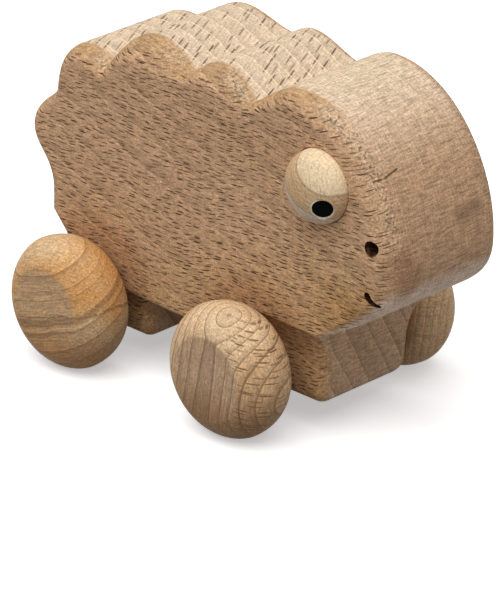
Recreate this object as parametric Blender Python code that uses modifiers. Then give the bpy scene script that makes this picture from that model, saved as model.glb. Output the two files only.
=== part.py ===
"""Wheeled wooden sheep: a sawn block with a scalloped fleece, domed eyes and turned wheels on two axles.

The sheep looks along +X and stands on the ground plane, with its left side towards +Y.
"""

import math

import bmesh
import bpy
from mathutils import Matrix, Vector

MM = 0.001

# Clearances
SEAT_GAP = 0.3 * MM
SIDE_PLAY = 1.0 * MM
JOIN_DEPTH = 3.0 * MM
COVE_LEDGE = 0.4 * MM
WELD = 0.001 * MM

# Running gear
WHEEL_DIAMETER = 36.0 * MM
WHEEL_OUTER_HALF = 7.9 * MM
WHEEL_INNER_HALF = 8.6 * MM
WHEEL_OUTER_FLAT_RADIUS = 11.0 * MM
WHEEL_INNER_FLAT_RADIUS = 12.5 * MM
WHEEL_OUTER_DOME_POWER = 1.6
WHEEL_INNER_DOME_POWER = 2.0
HUB_RADIUS = 6.0 * MM
HUB_LENGTH = 5.7 * MM
WHEELBASE = 58.76 * MM
REAR_AXLE_X = -39.78 * MM
AXLE_DIAMETER = 6.0 * MM
AXLE_GRIP = 14.5 * MM

# Block and legs, with heights counted from the axle line
BLOCK_THICKNESS = 42.0 * MM
FLEECE_ROUND = 6.0 * MM
VALLEY_ROUND = 4.5 * MM
HEAD_ROUND = 7.0 * MM
BELLY_ROUND = 4.0 * MM
COVE_EDGE_ROUND = 0.8 * MM
LEG_THICKNESS = 32.0 * MM
FRONT_LEG_DROP = 10.0 * MM
REAR_LEG_DROP = 11.7 * MM
LEG_EDGE_ROUND = 3.0 * MM
LEG_CORNER_EXTRA = 1.0 * MM
REAR_LEG_BACK = 10.6 * MM
REAR_LEG_FRONT = 14.4 * MM
FRONT_LEG_BACK = 12.5 * MM
FRONT_LEG_FRONT = 20.5 * MM
CHEST_LEAN = 0.12
FRONT_COVE_TOP = 13.0 * MM
FRONT_COVE_RISE = 11.0 * MM
REAR_COVE_TOP = 9.4 * MM
REAR_COVE_RISE = 5.0 * MM
HAUNCH_FOOT = 13.0 * MM
BELLY_HEIGHT = 3.3 * MM
BELLY_SAG = 1.0 * MM
BELLY_FRONT_LAP = 6.0 * MM
BELLY_REAR_LAP = 8.2 * MM

# Eyes, nostrils and mouth
EYE_DIAMETER = 19.2 * MM
EYE_DOME_HEIGHT = 7.0 * MM
EYE_DOME_POWER = 2.2
EYE_SEAT_DEPTH = 3.0 * MM
EYE_X = 40.8 * MM
EYE_HEIGHT = 54.0 * MM
PUPIL_DIAMETER = 5.1 * MM
PUPIL_DEPTH = 3.0 * MM
PUPIL_TURN = math.radians(48.0)
PUPIL_DIP = math.radians(-23.0)
NOSTRIL_DIAMETER = 3.8 * MM
NOSTRIL_DEPTH = 9.0 * MM
NOSTRIL_X = 58.3 * MM
NOSTRIL_HEIGHT = 42.3 * MM
MOUTH_WIDTH = 1.2 * MM
MOUTH_DEPTH = 4.5 * MM
MOUTH_POINTS = ((56.9, 29.9), (58.2, 27.7), (59.6, 26.8))

# Facet counts
TURNED_STEPS = 40
SPAN_STEPS = 8
ROUND_STEPS = 4
DOME_STEPS = 7
BLADE_STEPS = 1
MITRE_LIMIT = 0.5
SMOOTH_ANGLE = math.radians(35.0)

AXLE_HEIGHT = WHEEL_DIAMETER / 2
FRONT_AXLE_X = REAR_AXLE_X + WHEELBASE
WHEEL_INNER_Y = LEG_THICKNESS / 2 + SIDE_PLAY
WHEEL_RIM_Y = WHEEL_INNER_Y + HUB_LENGTH + WHEEL_INNER_HALF
SIDES = (("right", -1), ("left", 1))
FRONT_COVE = (FRONT_COVE_TOP, FRONT_COVE_RISE)
REAR_COVE = (REAR_COVE_TOP, REAR_COVE_RISE)
LEGS = (
    ("front", FRONT_AXLE_X, FRONT_LEG_BACK, FRONT_LEG_FRONT, FRONT_LEG_DROP, FRONT_COVE, CHEST_LEAN),
    ("rear", REAR_AXLE_X, REAR_LEG_BACK, REAR_LEG_FRONT, REAR_LEG_DROP, REAR_COVE, 0.0),
)

# Head, fleece and tail as Bezier spans: two guide points and an end point each, in millimetres, with
# heights counted from the axle line. They run from the top of the chest over the head to the haunch.
CHEST_TOP = (39.8, 12.3)
HEAD_SPANS = (
    ((47.0, 15.5), (55.8, 20.6), (60.5, 24.8)),
    ((63.4, 27.4), (64.8, 31.0), (64.8, 36.0)),
    ((64.8, 53.5), (50.5, 75.8), (29.0, 75.0)),
    ((24.0, 74.8), (18.5, 70.0), (15.0, 67.9)),
)
FLEECE_SPANS = (
    ((9.0, 71.0), (0.5, 77.8), (-6.5, 69.9)),
    ((-14.0, 69.9), (-26.5, 82.6), (-37.4, 63.6)),
    ((-44.5, 68.0), (-55.8, 67.4), (-54.5, 52.4)),
    ((-57.0, 48.6), (-64.8, 46.5), (-64.8, 40.0)),
    ((-64.8, 33.0), (-57.6, 32.0), (-57.5, 24.0)),
)
HAUNCH_CORNER = (-57.3, 17.4)

# Finishes as a name, a colour and a roughness
BEECH = ("beech", (0.62, 0.42, 0.25), 0.6)
PALE_BEECH = ("pale_beech", (0.72, 0.52, 0.33), 0.5)
WARM_BEECH = ("warm_beech", (0.66, 0.44, 0.25), 0.55)
BLACK_STAIN = ("black_stain", (0.006, 0.006, 0.006), 0.4)


def remove_all_objects():
    """Empties the scene of every object it opened with."""
    for thing in list(bpy.data.objects):
        bpy.data.objects.remove(thing, do_unlink=True)


def new_collection(name):
    """Adds a collection to the scene."""
    collection = bpy.data.collections.new(name)
    bpy.context.scene.collection.children.link(collection)
    return collection


def new_material(name, colour, roughness):
    """Makes a plain finish of one colour."""
    material = bpy.data.materials.new(name)
    material.use_nodes = True
    shader = material.node_tree.nodes["Principled BSDF"]
    shader.inputs["Base Color"].default_value = (*colour, 1.0)
    shader.inputs["Roughness"].default_value = roughness
    shader.inputs["Metallic"].default_value = 0.0
    return material


def new_object(name, mesh, collection):
    """Adds an object for a mesh to a collection."""
    thing = bpy.data.objects.new(name, mesh)
    collection.objects.link(thing)
    return thing


def object_from(work, name, collection):
    """Writes a bmesh to a new object and frees it."""
    mesh = bpy.data.meshes.new(name)
    work.to_mesh(mesh)
    work.free()
    return new_object(name, mesh, collection)


def as_tool(thing):
    """Marks an object as a shaping tool that is not part of the toy."""
    thing.hide_render = True
    thing.display_type = "WIRE"
    return thing


def combine(thing, tool, operation):
    """Joins a tool to an object, takes it away, or keeps what they share."""
    modifier = thing.modifiers.new(tool.name, "BOOLEAN")
    modifier.operation = operation
    modifier.solver = "EXACT"
    modifier.object = tool


def shade_round(thing, material):
    """Gives an object its finish, smooth over gentle edges and crisp over sharp ones."""
    thing.data.materials.append(material)
    thing.data.shade_smooth()
    thing.data.set_sharp_from_angle(angle=SMOOTH_ANGLE)


def side_turn(side):
    """Turns local +Z to point out of one side of the toy."""
    return Matrix.Rotation(-side * math.pi / 2, 4, "X")


def at_side(x, height, side):
    """Returns the frame of a feature on one side of the block, with local +Z pointing out."""
    return Matrix.Translation((x, side * BLOCK_THICKNESS / 2, AXLE_HEIGHT + height)) @ side_turn(side)


def bezier_points(start, spans):
    """Follows Bezier spans from a start point and returns the points on them."""
    points = [start]
    for guide_a, guide_b, end in spans:
        knots = (points[-1], guide_a, guide_b, end)
        for step in range(1, SPAN_STEPS + 1):
            t = step / SPAN_STEPS
            weights = ((1 - t) ** 3, 3 * t * (1 - t) ** 2, 3 * t * t * (1 - t), t ** 3)
            x = sum(weight * knot[0] for weight, knot in zip(weights, knots))
            height = sum(weight * knot[1] for weight, knot in zip(weights, knots))
            points.append((x, height))
    return points


def belly_points():
    """Returns the underside of the block between the legs, a shallow bulge with upright ends."""
    front = FRONT_AXLE_X - FRONT_LEG_BACK + BELLY_FRONT_LAP
    back = REAR_AXLE_X + REAR_LEG_FRONT - BELLY_REAR_LAP
    points = [(back, REAR_COVE_TOP, COVE_EDGE_ROUND)]
    for step in range(SPAN_STEPS + 1):
        share = step / SPAN_STEPS
        height = BELLY_HEIGHT - BELLY_SAG * math.sin(math.pi * share)
        points.append((back + share * (front - back), height, BELLY_ROUND))
    points.append((front, FRONT_COVE_TOP, COVE_EDGE_ROUND))
    return points


def block_outline():
    """Returns the block's side outline, with the rounding of its rim at each point."""
    head = bezier_points(CHEST_TOP, HEAD_SPANS)
    fleece = bezier_points(head[-1], FLEECE_SPANS)
    valleys = {span[2] for span in (HEAD_SPANS[-1], *FLEECE_SPANS[:3])}
    outline = []
    for step, (x, height) in enumerate(head[:-1]):
        share = min(step / SPAN_STEPS, 1.0)
        outline.append((x * MM, height * MM, COVE_EDGE_ROUND + share * (HEAD_ROUND - COVE_EDGE_ROUND)))
    for x, height in fleece:
        rounding = VALLEY_ROUND if (x, height) in valleys else FLEECE_ROUND
        outline.append((x * MM, height * MM, rounding))
    outline.append((HAUNCH_CORNER[0] * MM, HAUNCH_CORNER[1] * MM, VALLEY_ROUND))
    heel = REAR_AXLE_X - REAR_LEG_BACK - COVE_LEDGE
    outline.append((heel, HAUNCH_FOOT, COVE_EDGE_ROUND))
    outline.append((heel, REAR_COVE_TOP, COVE_EDGE_ROUND))
    return outline + belly_points()


def leg_outline(drop, cove_top, cove_rise):
    """Returns the front view of a leg: upright sides that flare out in a cove to meet the block."""
    half = LEG_THICKNESS / 2
    reach = BLOCK_THICKNESS / 2 - COVE_LEDGE - half
    radius = (reach ** 2 + cove_rise ** 2) / (2 * reach)
    sweep = math.asin(cove_rise / radius)
    corner = LEG_EDGE_ROUND + LEG_CORNER_EXTRA
    flank = []
    for step in range(ROUND_STEPS + 1):
        turn = math.pi / 2 * step / ROUND_STEPS
        across = half - corner * (1 - math.sin(turn))
        flank.append((across, corner * (1 - math.cos(turn)) - drop, LEG_EDGE_ROUND))
    for step in range(SPAN_STEPS + 1):
        turn = sweep * step / SPAN_STEPS
        fading = LEG_EDGE_ROUND + (COVE_EDGE_ROUND - LEG_EDGE_ROUND) * step / SPAN_STEPS
        height = cove_top - cove_rise + radius * math.sin(turn)
        flank.append((half + radius * (1 - math.cos(turn)), height, fading))
    flank.append((flank[-1][0], cove_top + JOIN_DEPTH, COVE_EDGE_ROUND))
    return flank + [(-across, height, rounding) for across, height, rounding in reversed(flank)]


def inset_outline(outline, share):
    """Moves each point of a closed outline inwards by a share of its own rounding."""
    moved = []
    for index, (x, y, rounding) in enumerate(outline):
        before = Vector(outline[index - 1][:2])
        after = Vector(outline[(index + 1) % len(outline)][:2])
        here = Vector((x, y))
        arriving = (here - before).normalized()
        leaving = (after - here).normalized()
        inward = (arriving + leaving).normalized()
        stretch = max(inward.dot(leaving), MITRE_LIMIT)
        moved.append(here + Vector((-inward.y, inward.x)) * rounding * share / stretch)
    return moved


def rounded_slab(outline, half_depth):
    """Lofts a closed outline through a slab along local Z, with its rims rounded, and returns a bmesh."""
    work = bmesh.new()
    turns = [math.pi / 2 * step / ROUND_STEPS for step in range(ROUND_STEPS + 1)]
    rings = []
    for side, order in ((-1, reversed(turns)), (1, turns)):
        for turn in order:
            points = inset_outline(outline, 1 - math.cos(turn))
            depths = [half_depth - knot[2] * (1 - math.sin(turn)) for knot in outline]
            rings.append([work.verts.new((*point, side * depth)) for point, depth in zip(points, depths)])
    for lower, upper in zip(rings, rings[1:]):
        for index in range(len(outline)):
            work.faces.new((lower[index - 1], lower[index], upper[index], upper[index - 1]))
    work.faces.new(rings[0])
    work.faces.new(rings[-1])
    bmesh.ops.recalc_face_normals(work, faces=work.faces)
    return work


def make_leg(name, axle_x, back, front, drop, cove, lean, tools):
    """Makes one leg as a slab along the toy, with its front leaning in towards the ground."""
    work = rounded_slab(leg_outline(drop, *cove), (front + back) / 2)
    along_x = Matrix(((0, 0, 1, 0), (1, 0, 0, 0), (0, 1, 0, 0), (0, 0, 0, 1)))
    place = Matrix.Translation((axle_x + (front - back) / 2, 0.0, AXLE_HEIGHT)) @ along_x
    bmesh.ops.transform(work, matrix=place, verts=work.verts)
    for vert in work.verts:
        if vert.co.x > axle_x:
            vert.co.x += lean * (vert.co.z - AXLE_HEIGHT - cove[0])
    return as_tool(object_from(work, name, tools))


def make_cylinder(name, diameter, low, high, place, collection):
    """Makes a closed cylinder between two heights on its local Z."""
    work = bmesh.new()
    middle = place @ Matrix.Translation((0.0, 0.0, (low + high) / 2))
    bmesh.ops.create_cone(work, cap_ends=True, segments=TURNED_STEPS, radius1=diameter / 2,
                          radius2=diameter / 2, depth=high - low, matrix=middle)
    return object_from(work, name, collection)


def make_turned(name, profile, collection):
    """Turns a profile of radius and height about local Z."""
    work = bmesh.new()
    verts = [work.verts.new((radius, 0.0, height)) for radius, height in profile]
    for upper, lower in zip(verts, verts[1:]):
        work.edges.new((upper, lower))
    thing = object_from(work, name, collection)
    turning = thing.modifiers.new("turning", "SCREW")
    turning.axis = "Z"
    turning.steps = TURNED_STEPS
    turning.render_steps = TURNED_STEPS
    turning.use_merge_vertices = True
    turning.merge_threshold = WELD
    return thing


def dome_profile(flat_radius, full_radius, height, power):
    """Returns the radius and height of a dome from its flat top down to its widest ring."""
    profile = []
    for step in range(DOME_STEPS + 1):
        fall = math.cos(math.pi / 2 * step / DOME_STEPS)
        spread = max(1 - fall ** power, 0.0) ** (1 / power)
        profile.append((flat_radius + (full_radius - flat_radius) * spread, height * fall))
    return profile


def wheel_profile():
    """Returns a wheel's half section from its outer flat to its blind axle hole, from the rim plane."""
    radius = WHEEL_DIAMETER / 2
    hole = AXLE_DIAMETER / 2 + SEAT_GAP
    hub_end = -WHEEL_INNER_HALF - HUB_LENGTH
    hole_end = hub_end + AXLE_GRIP + SEAT_GAP
    outer = dome_profile(WHEEL_OUTER_FLAT_RADIUS, radius, WHEEL_OUTER_HALF, WHEEL_OUTER_DOME_POWER)
    inner = dome_profile(WHEEL_INNER_FLAT_RADIUS, radius, WHEEL_INNER_HALF, WHEEL_INNER_DOME_POWER)
    profile = [(0.0, WHEEL_OUTER_HALF)] + outer
    profile += [(across, -height) for across, height in reversed(inner[:-1])]
    profile += [(HUB_RADIUS, -WHEEL_INNER_HALF), (HUB_RADIUS, hub_end)]
    return profile + [(hole, hub_end), (hole, hole_end), (0.0, hole_end)]


def eye_profile():
    """Returns an eye's half section from the top of its dome to its seat, from the side of the block."""
    radius = EYE_DIAMETER / 2
    dome = dome_profile(0.0, radius, EYE_DOME_HEIGHT, EYE_DOME_POWER)
    return dome + [(radius, -EYE_SEAT_DEPTH), (0.0, -EYE_SEAT_DEPTH)]


def pupil_frame(side):
    """Returns the frame of a pupil, with local Z running from the dome's middle out through the dome."""
    forward = math.sin(PUPIL_TURN) * math.cos(PUPIL_DIP)
    outward = math.cos(PUPIL_TURN) * math.cos(PUPIL_DIP)
    direction = Vector((forward, side * outward, math.sin(PUPIL_DIP)))
    middle = at_side(EYE_X, EYE_HEIGHT, side).to_translation()
    return Matrix.Translation(middle) @ direction.to_track_quat("Z", "Y").to_matrix().to_4x4()


def pupil_floor():
    """Returns how far from the dome's middle the bottom of the pupil's hole lies."""
    return EYE_DOME_HEIGHT - PUPIL_DEPTH


def make_mouth_tool(name, side, tools):
    """Makes the tool for one mouth corner: a round-edged blade bent through the mouth's points."""
    curve = bpy.data.curves.new(name, "CURVE")
    curve.dimensions = "3D"
    curve.extrude = MOUTH_DEPTH
    curve.bevel_depth = MOUTH_WIDTH / 2
    curve.bevel_resolution = BLADE_STEPS
    curve.use_fill_caps = True
    curve.resolution_u = SPAN_STEPS // 2
    spline = curve.splines.new("BEZIER")
    spline.bezier_points.add(len(MOUTH_POINTS[1:]))
    for knot, (x, height) in zip(spline.bezier_points, MOUTH_POINTS):
        knot.co = (x * MM, height * MM, 0.0)
        knot.handle_left_type = "AUTO"
        knot.handle_right_type = "AUTO"
    drawing = new_object(name + "_drawing", curve, tools)
    evaluated = drawing.evaluated_get(bpy.context.evaluated_depsgraph_get())
    mesh = bpy.data.meshes.new_from_object(evaluated)
    bpy.data.objects.remove(drawing, do_unlink=True)
    work = bmesh.new()
    work.from_mesh(mesh)
    bmesh.ops.remove_doubles(work, verts=work.verts, dist=WELD)
    upright = Matrix.Rotation(math.pi / 2, 4, "X")
    place = Matrix.Translation((0.0, side * BLOCK_THICKNESS / 2, AXLE_HEIGHT)) @ upright
    bmesh.ops.transform(work, matrix=place, verts=work.verts)
    bmesh.ops.recalc_face_normals(work, faces=work.faces)
    return as_tool(object_from(work, name, tools))


def make_block(parts):
    """Makes the sawn block without its legs."""
    work = rounded_slab(block_outline(), BLOCK_THICKNESS / 2)
    upright = Matrix.Translation((0.0, 0.0, AXLE_HEIGHT)) @ Matrix.Rotation(math.pi / 2, 4, "X")
    bmesh.ops.transform(work, matrix=upright, verts=work.verts)
    return object_from(work, "body", parts)


def make_body(parts, tools, material):
    """Makes the body: the block with its legs, axle bores, eye seats, nostrils and mouth."""
    body = make_block(parts)
    bore = AXLE_DIAMETER + 2 * SEAT_GAP
    reach = BLOCK_THICKNESS / 2
    for word, axle_x, back, front, drop, cove, lean in LEGS:
        leg = make_leg(word + "_leg", axle_x, back, front, drop, cove, lean, tools)
        combine(body, leg, "UNION")
        place = Matrix.Translation((axle_x, 0.0, AXLE_HEIGHT)) @ side_turn(1)
        drill = make_cylinder(word + "_bore", bore, -reach, reach, place, tools)
        combine(body, as_tool(drill), "DIFFERENCE")
    seat = EYE_DIAMETER + 2 * SEAT_GAP
    depth = EYE_SEAT_DEPTH + SEAT_GAP
    for word, side in SIDES:
        place = at_side(EYE_X, EYE_HEIGHT, side)
        socket = make_cylinder("eye_seat_" + word, seat, -depth, depth, place, tools)
        combine(body, as_tool(socket), "DIFFERENCE")
        place = at_side(NOSTRIL_X, NOSTRIL_HEIGHT, side)
        reach = NOSTRIL_DEPTH
        nostril = make_cylinder("nostril_" + word, NOSTRIL_DIAMETER, -reach, reach, place, tools)
        combine(body, as_tool(nostril), "DIFFERENCE")
        combine(body, make_mouth_tool("mouth_" + word, side, tools), "DIFFERENCE")
    shade_round(body, material)


def make_eye(word, side, parts, tools, wood, stain):
    """Makes one domed eye and the stained plug let into it for the pupil."""
    place = at_side(EYE_X, EYE_HEIGHT, side)
    eye = make_turned("eye_" + word, eye_profile(), parts)
    blank = as_tool(make_turned("eye_blank_" + word, eye_profile(), tools))
    for turned in (eye, blank):
        turned.matrix_world = place
    frame = pupil_frame(side)
    far = EYE_DIAMETER
    hole = PUPIL_DIAMETER + 2 * SEAT_GAP
    drill = make_cylinder("pupil_hole_" + word, hole, pupil_floor() - SEAT_GAP, far, frame, tools)
    combine(eye, as_tool(drill), "DIFFERENCE")
    pupil = make_cylinder("pupil_" + word, PUPIL_DIAMETER, pupil_floor(), far, frame, parts)
    combine(pupil, blank, "INTERSECT")
    shade_round(eye, wood)
    shade_round(pupil, stain)


def make_axle(word, axle_x, parts, material):
    """Makes one axle, a straight dowel that ends inside both of its wheels."""
    reach = WHEEL_INNER_Y + AXLE_GRIP
    axle = make_cylinder(word + "_axle", AXLE_DIAMETER, -reach, reach, side_turn(1), parts)
    axle.location = (axle_x, 0.0, AXLE_HEIGHT)
    shade_round(axle, material)
    return axle


def make_wheel(name, axle, side, parts, material):
    """Makes one turned wheel and hangs it on its axle."""
    wheel = make_turned(name, wheel_profile(), parts)
    wheel.parent = axle
    wheel.matrix_local = Matrix.Translation((0.0, side * WHEEL_RIM_Y, 0.0)) @ side_turn(side)
    shade_round(wheel, material)


def main():
    """Builds the toy."""
    remove_all_objects()
    parts = new_collection("wheeled_sheep")
    tools = new_collection("cutters")
    pale = new_material(*PALE_BEECH)
    warm = new_material(*WARM_BEECH)
    stain = new_material(*BLACK_STAIN)
    make_body(parts, tools, new_material(*BEECH))
    for word, side in SIDES:
        make_eye(word, side, parts, tools, pale, stain)
    for word, axle_x, *_ in LEGS:
        axle = make_axle(word, axle_x, parts, warm)
        for hand, side in SIDES:
            make_wheel(f"{word}_{hand}_wheel", axle, side, parts, warm)


main()
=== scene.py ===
"""Dressed model of a wheeled wooden sheep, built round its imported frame.

The sheep looks along +X and stands on the ground plane, with its left side towards +Y. Lengths are in
metres, and MM turns millimetres into them. The finishes count in millimetres, because wood figure is small.
"""

import logging
import math
from dataclasses import dataclass, replace
from enum import Enum
from functools import reduce
from typing import Any, Iterable, Optional, Sequence, Union

import bmesh
import bpy
from mathutils import Euler, Matrix, Vector
from mathutils.geometry import interpolate_bezier
from mathutils.kdtree import KDTree


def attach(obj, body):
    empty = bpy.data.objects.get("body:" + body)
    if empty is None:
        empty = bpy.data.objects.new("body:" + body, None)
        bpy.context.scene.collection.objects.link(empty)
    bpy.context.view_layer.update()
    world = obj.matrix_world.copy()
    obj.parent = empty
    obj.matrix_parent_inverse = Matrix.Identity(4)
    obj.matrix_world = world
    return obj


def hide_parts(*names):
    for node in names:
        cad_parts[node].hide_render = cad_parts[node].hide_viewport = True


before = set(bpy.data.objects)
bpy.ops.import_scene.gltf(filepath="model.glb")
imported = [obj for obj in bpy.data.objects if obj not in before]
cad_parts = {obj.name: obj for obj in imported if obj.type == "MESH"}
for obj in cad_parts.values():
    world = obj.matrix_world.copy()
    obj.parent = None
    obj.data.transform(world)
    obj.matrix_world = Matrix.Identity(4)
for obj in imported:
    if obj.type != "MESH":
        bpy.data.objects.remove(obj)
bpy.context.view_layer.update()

MM = 0.001
WELD = 0.002 * MM  # corners that lie closer than this are one
FRONT_X = 18.98 * MM  # where the front axle lies along the toy
REAR_X = -39.78 * MM  # where the rear axle lies along the toy
AXLE_HEIGHT = 18.0 * MM  # the axles' height above the ground
QUARTER = math.pi / 2  # a quarter turn
RUN = "run"  # the block's attribute that tells the way round its outline
LOG = logging.getLogger("wheeled_sheep")

Colour = tuple[float, float, float]
Triple = tuple[float, float, float]
Pair = tuple[float, float]
Term = Union["Signal", float]


class Side(Enum):
    """The two sides of the toy, by the sign of Y that they face."""

    RIGHT = -1
    LEFT = 1

    @property
    def word(self) -> str:
        """The side's name as it stands in piece names."""
        return self.name.lower()


class End(Enum):
    """The two ends of the toy."""

    FRONT = "front"
    REAR = "rear"


class Cut(Enum):
    """What a shaping tool does to a workpiece."""

    JOIN = "UNION"
    TAKE = "DIFFERENCE"


class Grain(Enum):
    """The ways that a wheel's grain can lie, as a turn about the axle in degrees."""

    LEVEL = 17.0
    UPRIGHT = 80.0


# ---------------------------------------------------------------- shader maths


class Signal:
    """A socket of a node tree, wrapped so that shader maths reads as plain expressions."""

    def __init__(self, bench: "NodeBench", socket: bpy.types.NodeSocket) -> None:
        """Keeps the socket and the bench that it is on."""
        self.bench = bench
        self.socket = socket

    def other(self, output: str) -> "Signal":
        """Returns another output of the same node."""
        return Signal(self.bench, self.socket.node.outputs[output])

    def __add__(self, term: Term) -> "Signal":
        """Returns self + term."""
        return self.bench.calc("ADD", self, term)

    __radd__ = __add__

    def __sub__(self, term: Term) -> "Signal":
        """Returns self - term."""
        return self.bench.calc("SUBTRACT", self, term)

    def __rsub__(self, term: Term) -> "Signal":
        """Returns term - self."""
        return self.bench.calc("SUBTRACT", term, self)

    def __mul__(self, term: Term) -> "Signal":
        """Returns self * term."""
        return self.bench.calc("MULTIPLY", self, term)

    __rmul__ = __mul__

    def __truediv__(self, term: Term) -> "Signal":
        """Returns self / term."""
        return self.bench.calc("DIVIDE", self, term)

    def __rtruediv__(self, term: Term) -> "Signal":
        """Returns term / self."""
        return self.bench.calc("DIVIDE", term, self)

    def __abs__(self) -> "Signal":
        """Returns the size of self without its sign."""
        return self.bench.calc("ABSOLUTE", self)

    def fraction(self) -> "Signal":
        """Returns what is left of self above the whole number below it."""
        return self.bench.calc("FRACT", self)

    def most(self, term: Term) -> "Signal":
        """Returns the larger of self and term."""
        return self.bench.calc("MAXIMUM", self, term)

    def span(self, low: float, high: float) -> "Signal":
        """Returns self drawn out from 0 to 1 to low to high."""
        return low + self * (high - low)

    def rise(self, low: float, high: float) -> "Signal":
        """Returns a soft step.

        Args:
            low: The value up to which the step is 0.
            high: The value from which the step is 1; it may lie below low.

        Returns:
            The step, from 0 to 1.
        """
        if high < low:
            return 1.0 - self.rise(high, low)
        return self.bench.add("ShaderNodeMapRange", {"interpolation_type": "SMOOTHSTEP"},
                              {"Value": self, "From Min": low, "From Max": high})

    def hump(self, middle: float, half: float) -> "Signal":
        """Returns a soft hump, 1 at a middle value and 0 from half a width away."""
        return abs(self - middle).rise(half, 0.0)


class NodeBench:
    """The node tree of one material or world, with one method for every kind of node."""

    def __init__(self, owner: Union[bpy.types.Material, bpy.types.World]) -> None:
        """Clears a node tree to start afresh.

        Args:
            owner: The material or world that the tree belongs to.
        """
        self.owner = owner
        self.owner.use_nodes = True
        self.tree = self.owner.node_tree
        self.tree.nodes.clear()

    def add(self, kind: str, settings: Optional[dict[str, Any]] = None,
            sockets: Optional[dict[Union[str, int], Any]] = None,
            output: Union[str, int] = 0) -> Optional[Signal]:
        """Adds a node.

        Args:
            kind: The node's type.
            settings: Its properties, which are set first.
            sockets: Values or signals for its inputs, by name or number.
            output: The output that is handed back.

        Returns:
            That output, or None for a node without outputs.
        """
        node = self.tree.nodes.new(kind)
        for key, value in (settings or {}).items():
            setattr(node, key, value)
        for key, value in (sockets or {}).items():
            if isinstance(value, Signal):
                self.tree.links.new(value.socket, node.inputs[key])
            else:
                node.inputs[key].default_value = value
        return Signal(self, node.outputs[output]) if len(node.outputs) else None

    def calc(self, operation: str, *terms: Term) -> Signal:
        """Adds a Math node on values."""
        return self.add("ShaderNodeMath", {"operation": operation}, dict(enumerate(terms)))

    def vector(self, operation: str, *terms: Any, output: str = "Vector") -> Signal:
        """Adds a Vector Math node on vectors or colours."""
        return self.add("ShaderNodeVectorMath", {"operation": operation}, dict(enumerate(terms)), output)

    def scale(self, vector: Any, amount: Term) -> Signal:
        """Returns a vector or colour times one value."""
        return self.add("ShaderNodeVectorMath", {"operation": "SCALE"}, {0: vector, "Scale": amount})

    def split(self, vector: Signal) -> tuple[Signal, Signal, Signal]:
        """Returns a vector's three values."""
        first = self.add("ShaderNodeSeparateXYZ", {}, {0: vector})
        return first, first.other("Y"), first.other("Z")

    def join(self, x: Term, y: Term, z: Term) -> Signal:
        """Returns three values as a vector."""
        return self.add("ShaderNodeCombineXYZ", {}, {0: x, 1: y, 2: z})

    def place(self) -> Signal:
        """Returns the place on the piece, in millimetres."""
        return self.scale(self.add("ShaderNodeTexCoord", output="Object"), 1 / MM)

    def hypot(self, first: Signal, second: Signal) -> Signal:
        """Returns the distance that two values at right angles make."""
        return self.calc("SQRT", first * first + second * second)

    def noise(self, point: Signal, grain: float, detail: float = 2.0, roughness: float = 0.5) -> Signal:
        """Returns cloudy noise from 0 to 1.

        Args:
            point: Where it is read, in millimetres.
            grain: The size of its clouds in millimetres.
            detail: How many finer layers it has.
            roughness: How strong the finer layers are.

        Returns:
            The noise, with its colour as the node's other output.
        """
        return self.add("ShaderNodeTexNoise", {}, {
            "Vector": point, "Scale": 1.0 / grain, "Detail": detail, "Roughness": roughness})

    def gap(self, point: Signal, start: Triple, end: Triple) -> Signal:
        """Returns how far a place is from a straight stroke between two others.

        Args:
            point: The place.
            start: Where the stroke starts.
            end: Where the stroke ends.

        Returns:
            The distance, in the units of the places.
        """
        stroke = Vector(end) - Vector(start)
        offset = self.vector("SUBTRACT", point, start)
        share = self.vector("DOT_PRODUCT", offset, tuple(stroke / stroke.length_squared), output="Value")
        foot = self.scale(tuple(stroke), self.add("ShaderNodeClamp", {}, {"Value": share}))
        return self.vector("DISTANCE", offset, foot, output="Value")

    def mix(self, share: Term, first: Any, second: Any) -> Signal:
        """Returns a blend of two colours.

        Args:
            share: How much of the second colour there is.
            first: The colour at 0.
            second: The colour at 1.

        Returns:
            The blended colour.
        """
        paints = [(*paint, 1.0) if isinstance(paint, tuple) else paint for paint in (first, second)]
        return self.add("ShaderNodeMix", {"data_type": "RGBA"}, {0: share, 6: paints[0], 7: paints[1]}, output=2)

    def close(self, colour: Any, roughness: Term, height: Signal, depth: float,
              **constants: float) -> bpy.types.Material:
        """Joins what has been made to a shader.

        Args:
            colour: The base colour.
            roughness: The roughness.
            height: The height of the surface's small relief, from 0 to 1.
            depth: How deep that relief is, in millimetres.
            constants: Other values of the shader, with underscores for spaces in their names.

        Returns:
            The finished material.
        """
        relief = self.add("ShaderNodeBump", {}, {"Strength": 1.0, "Distance": depth * MM, "Height": height})
        sockets = {key.replace("_", " "): value for key, value in constants.items()}
        shader = self.add("ShaderNodeBsdfPrincipled", {}, {
            "Base Color": colour, "Roughness": roughness, "Normal": relief, **sockets})
        self.add("ShaderNodeOutputMaterial", {}, {"Surface": shader})
        return self.owner


# ---------------------------------------------------------------- finishes


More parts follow.
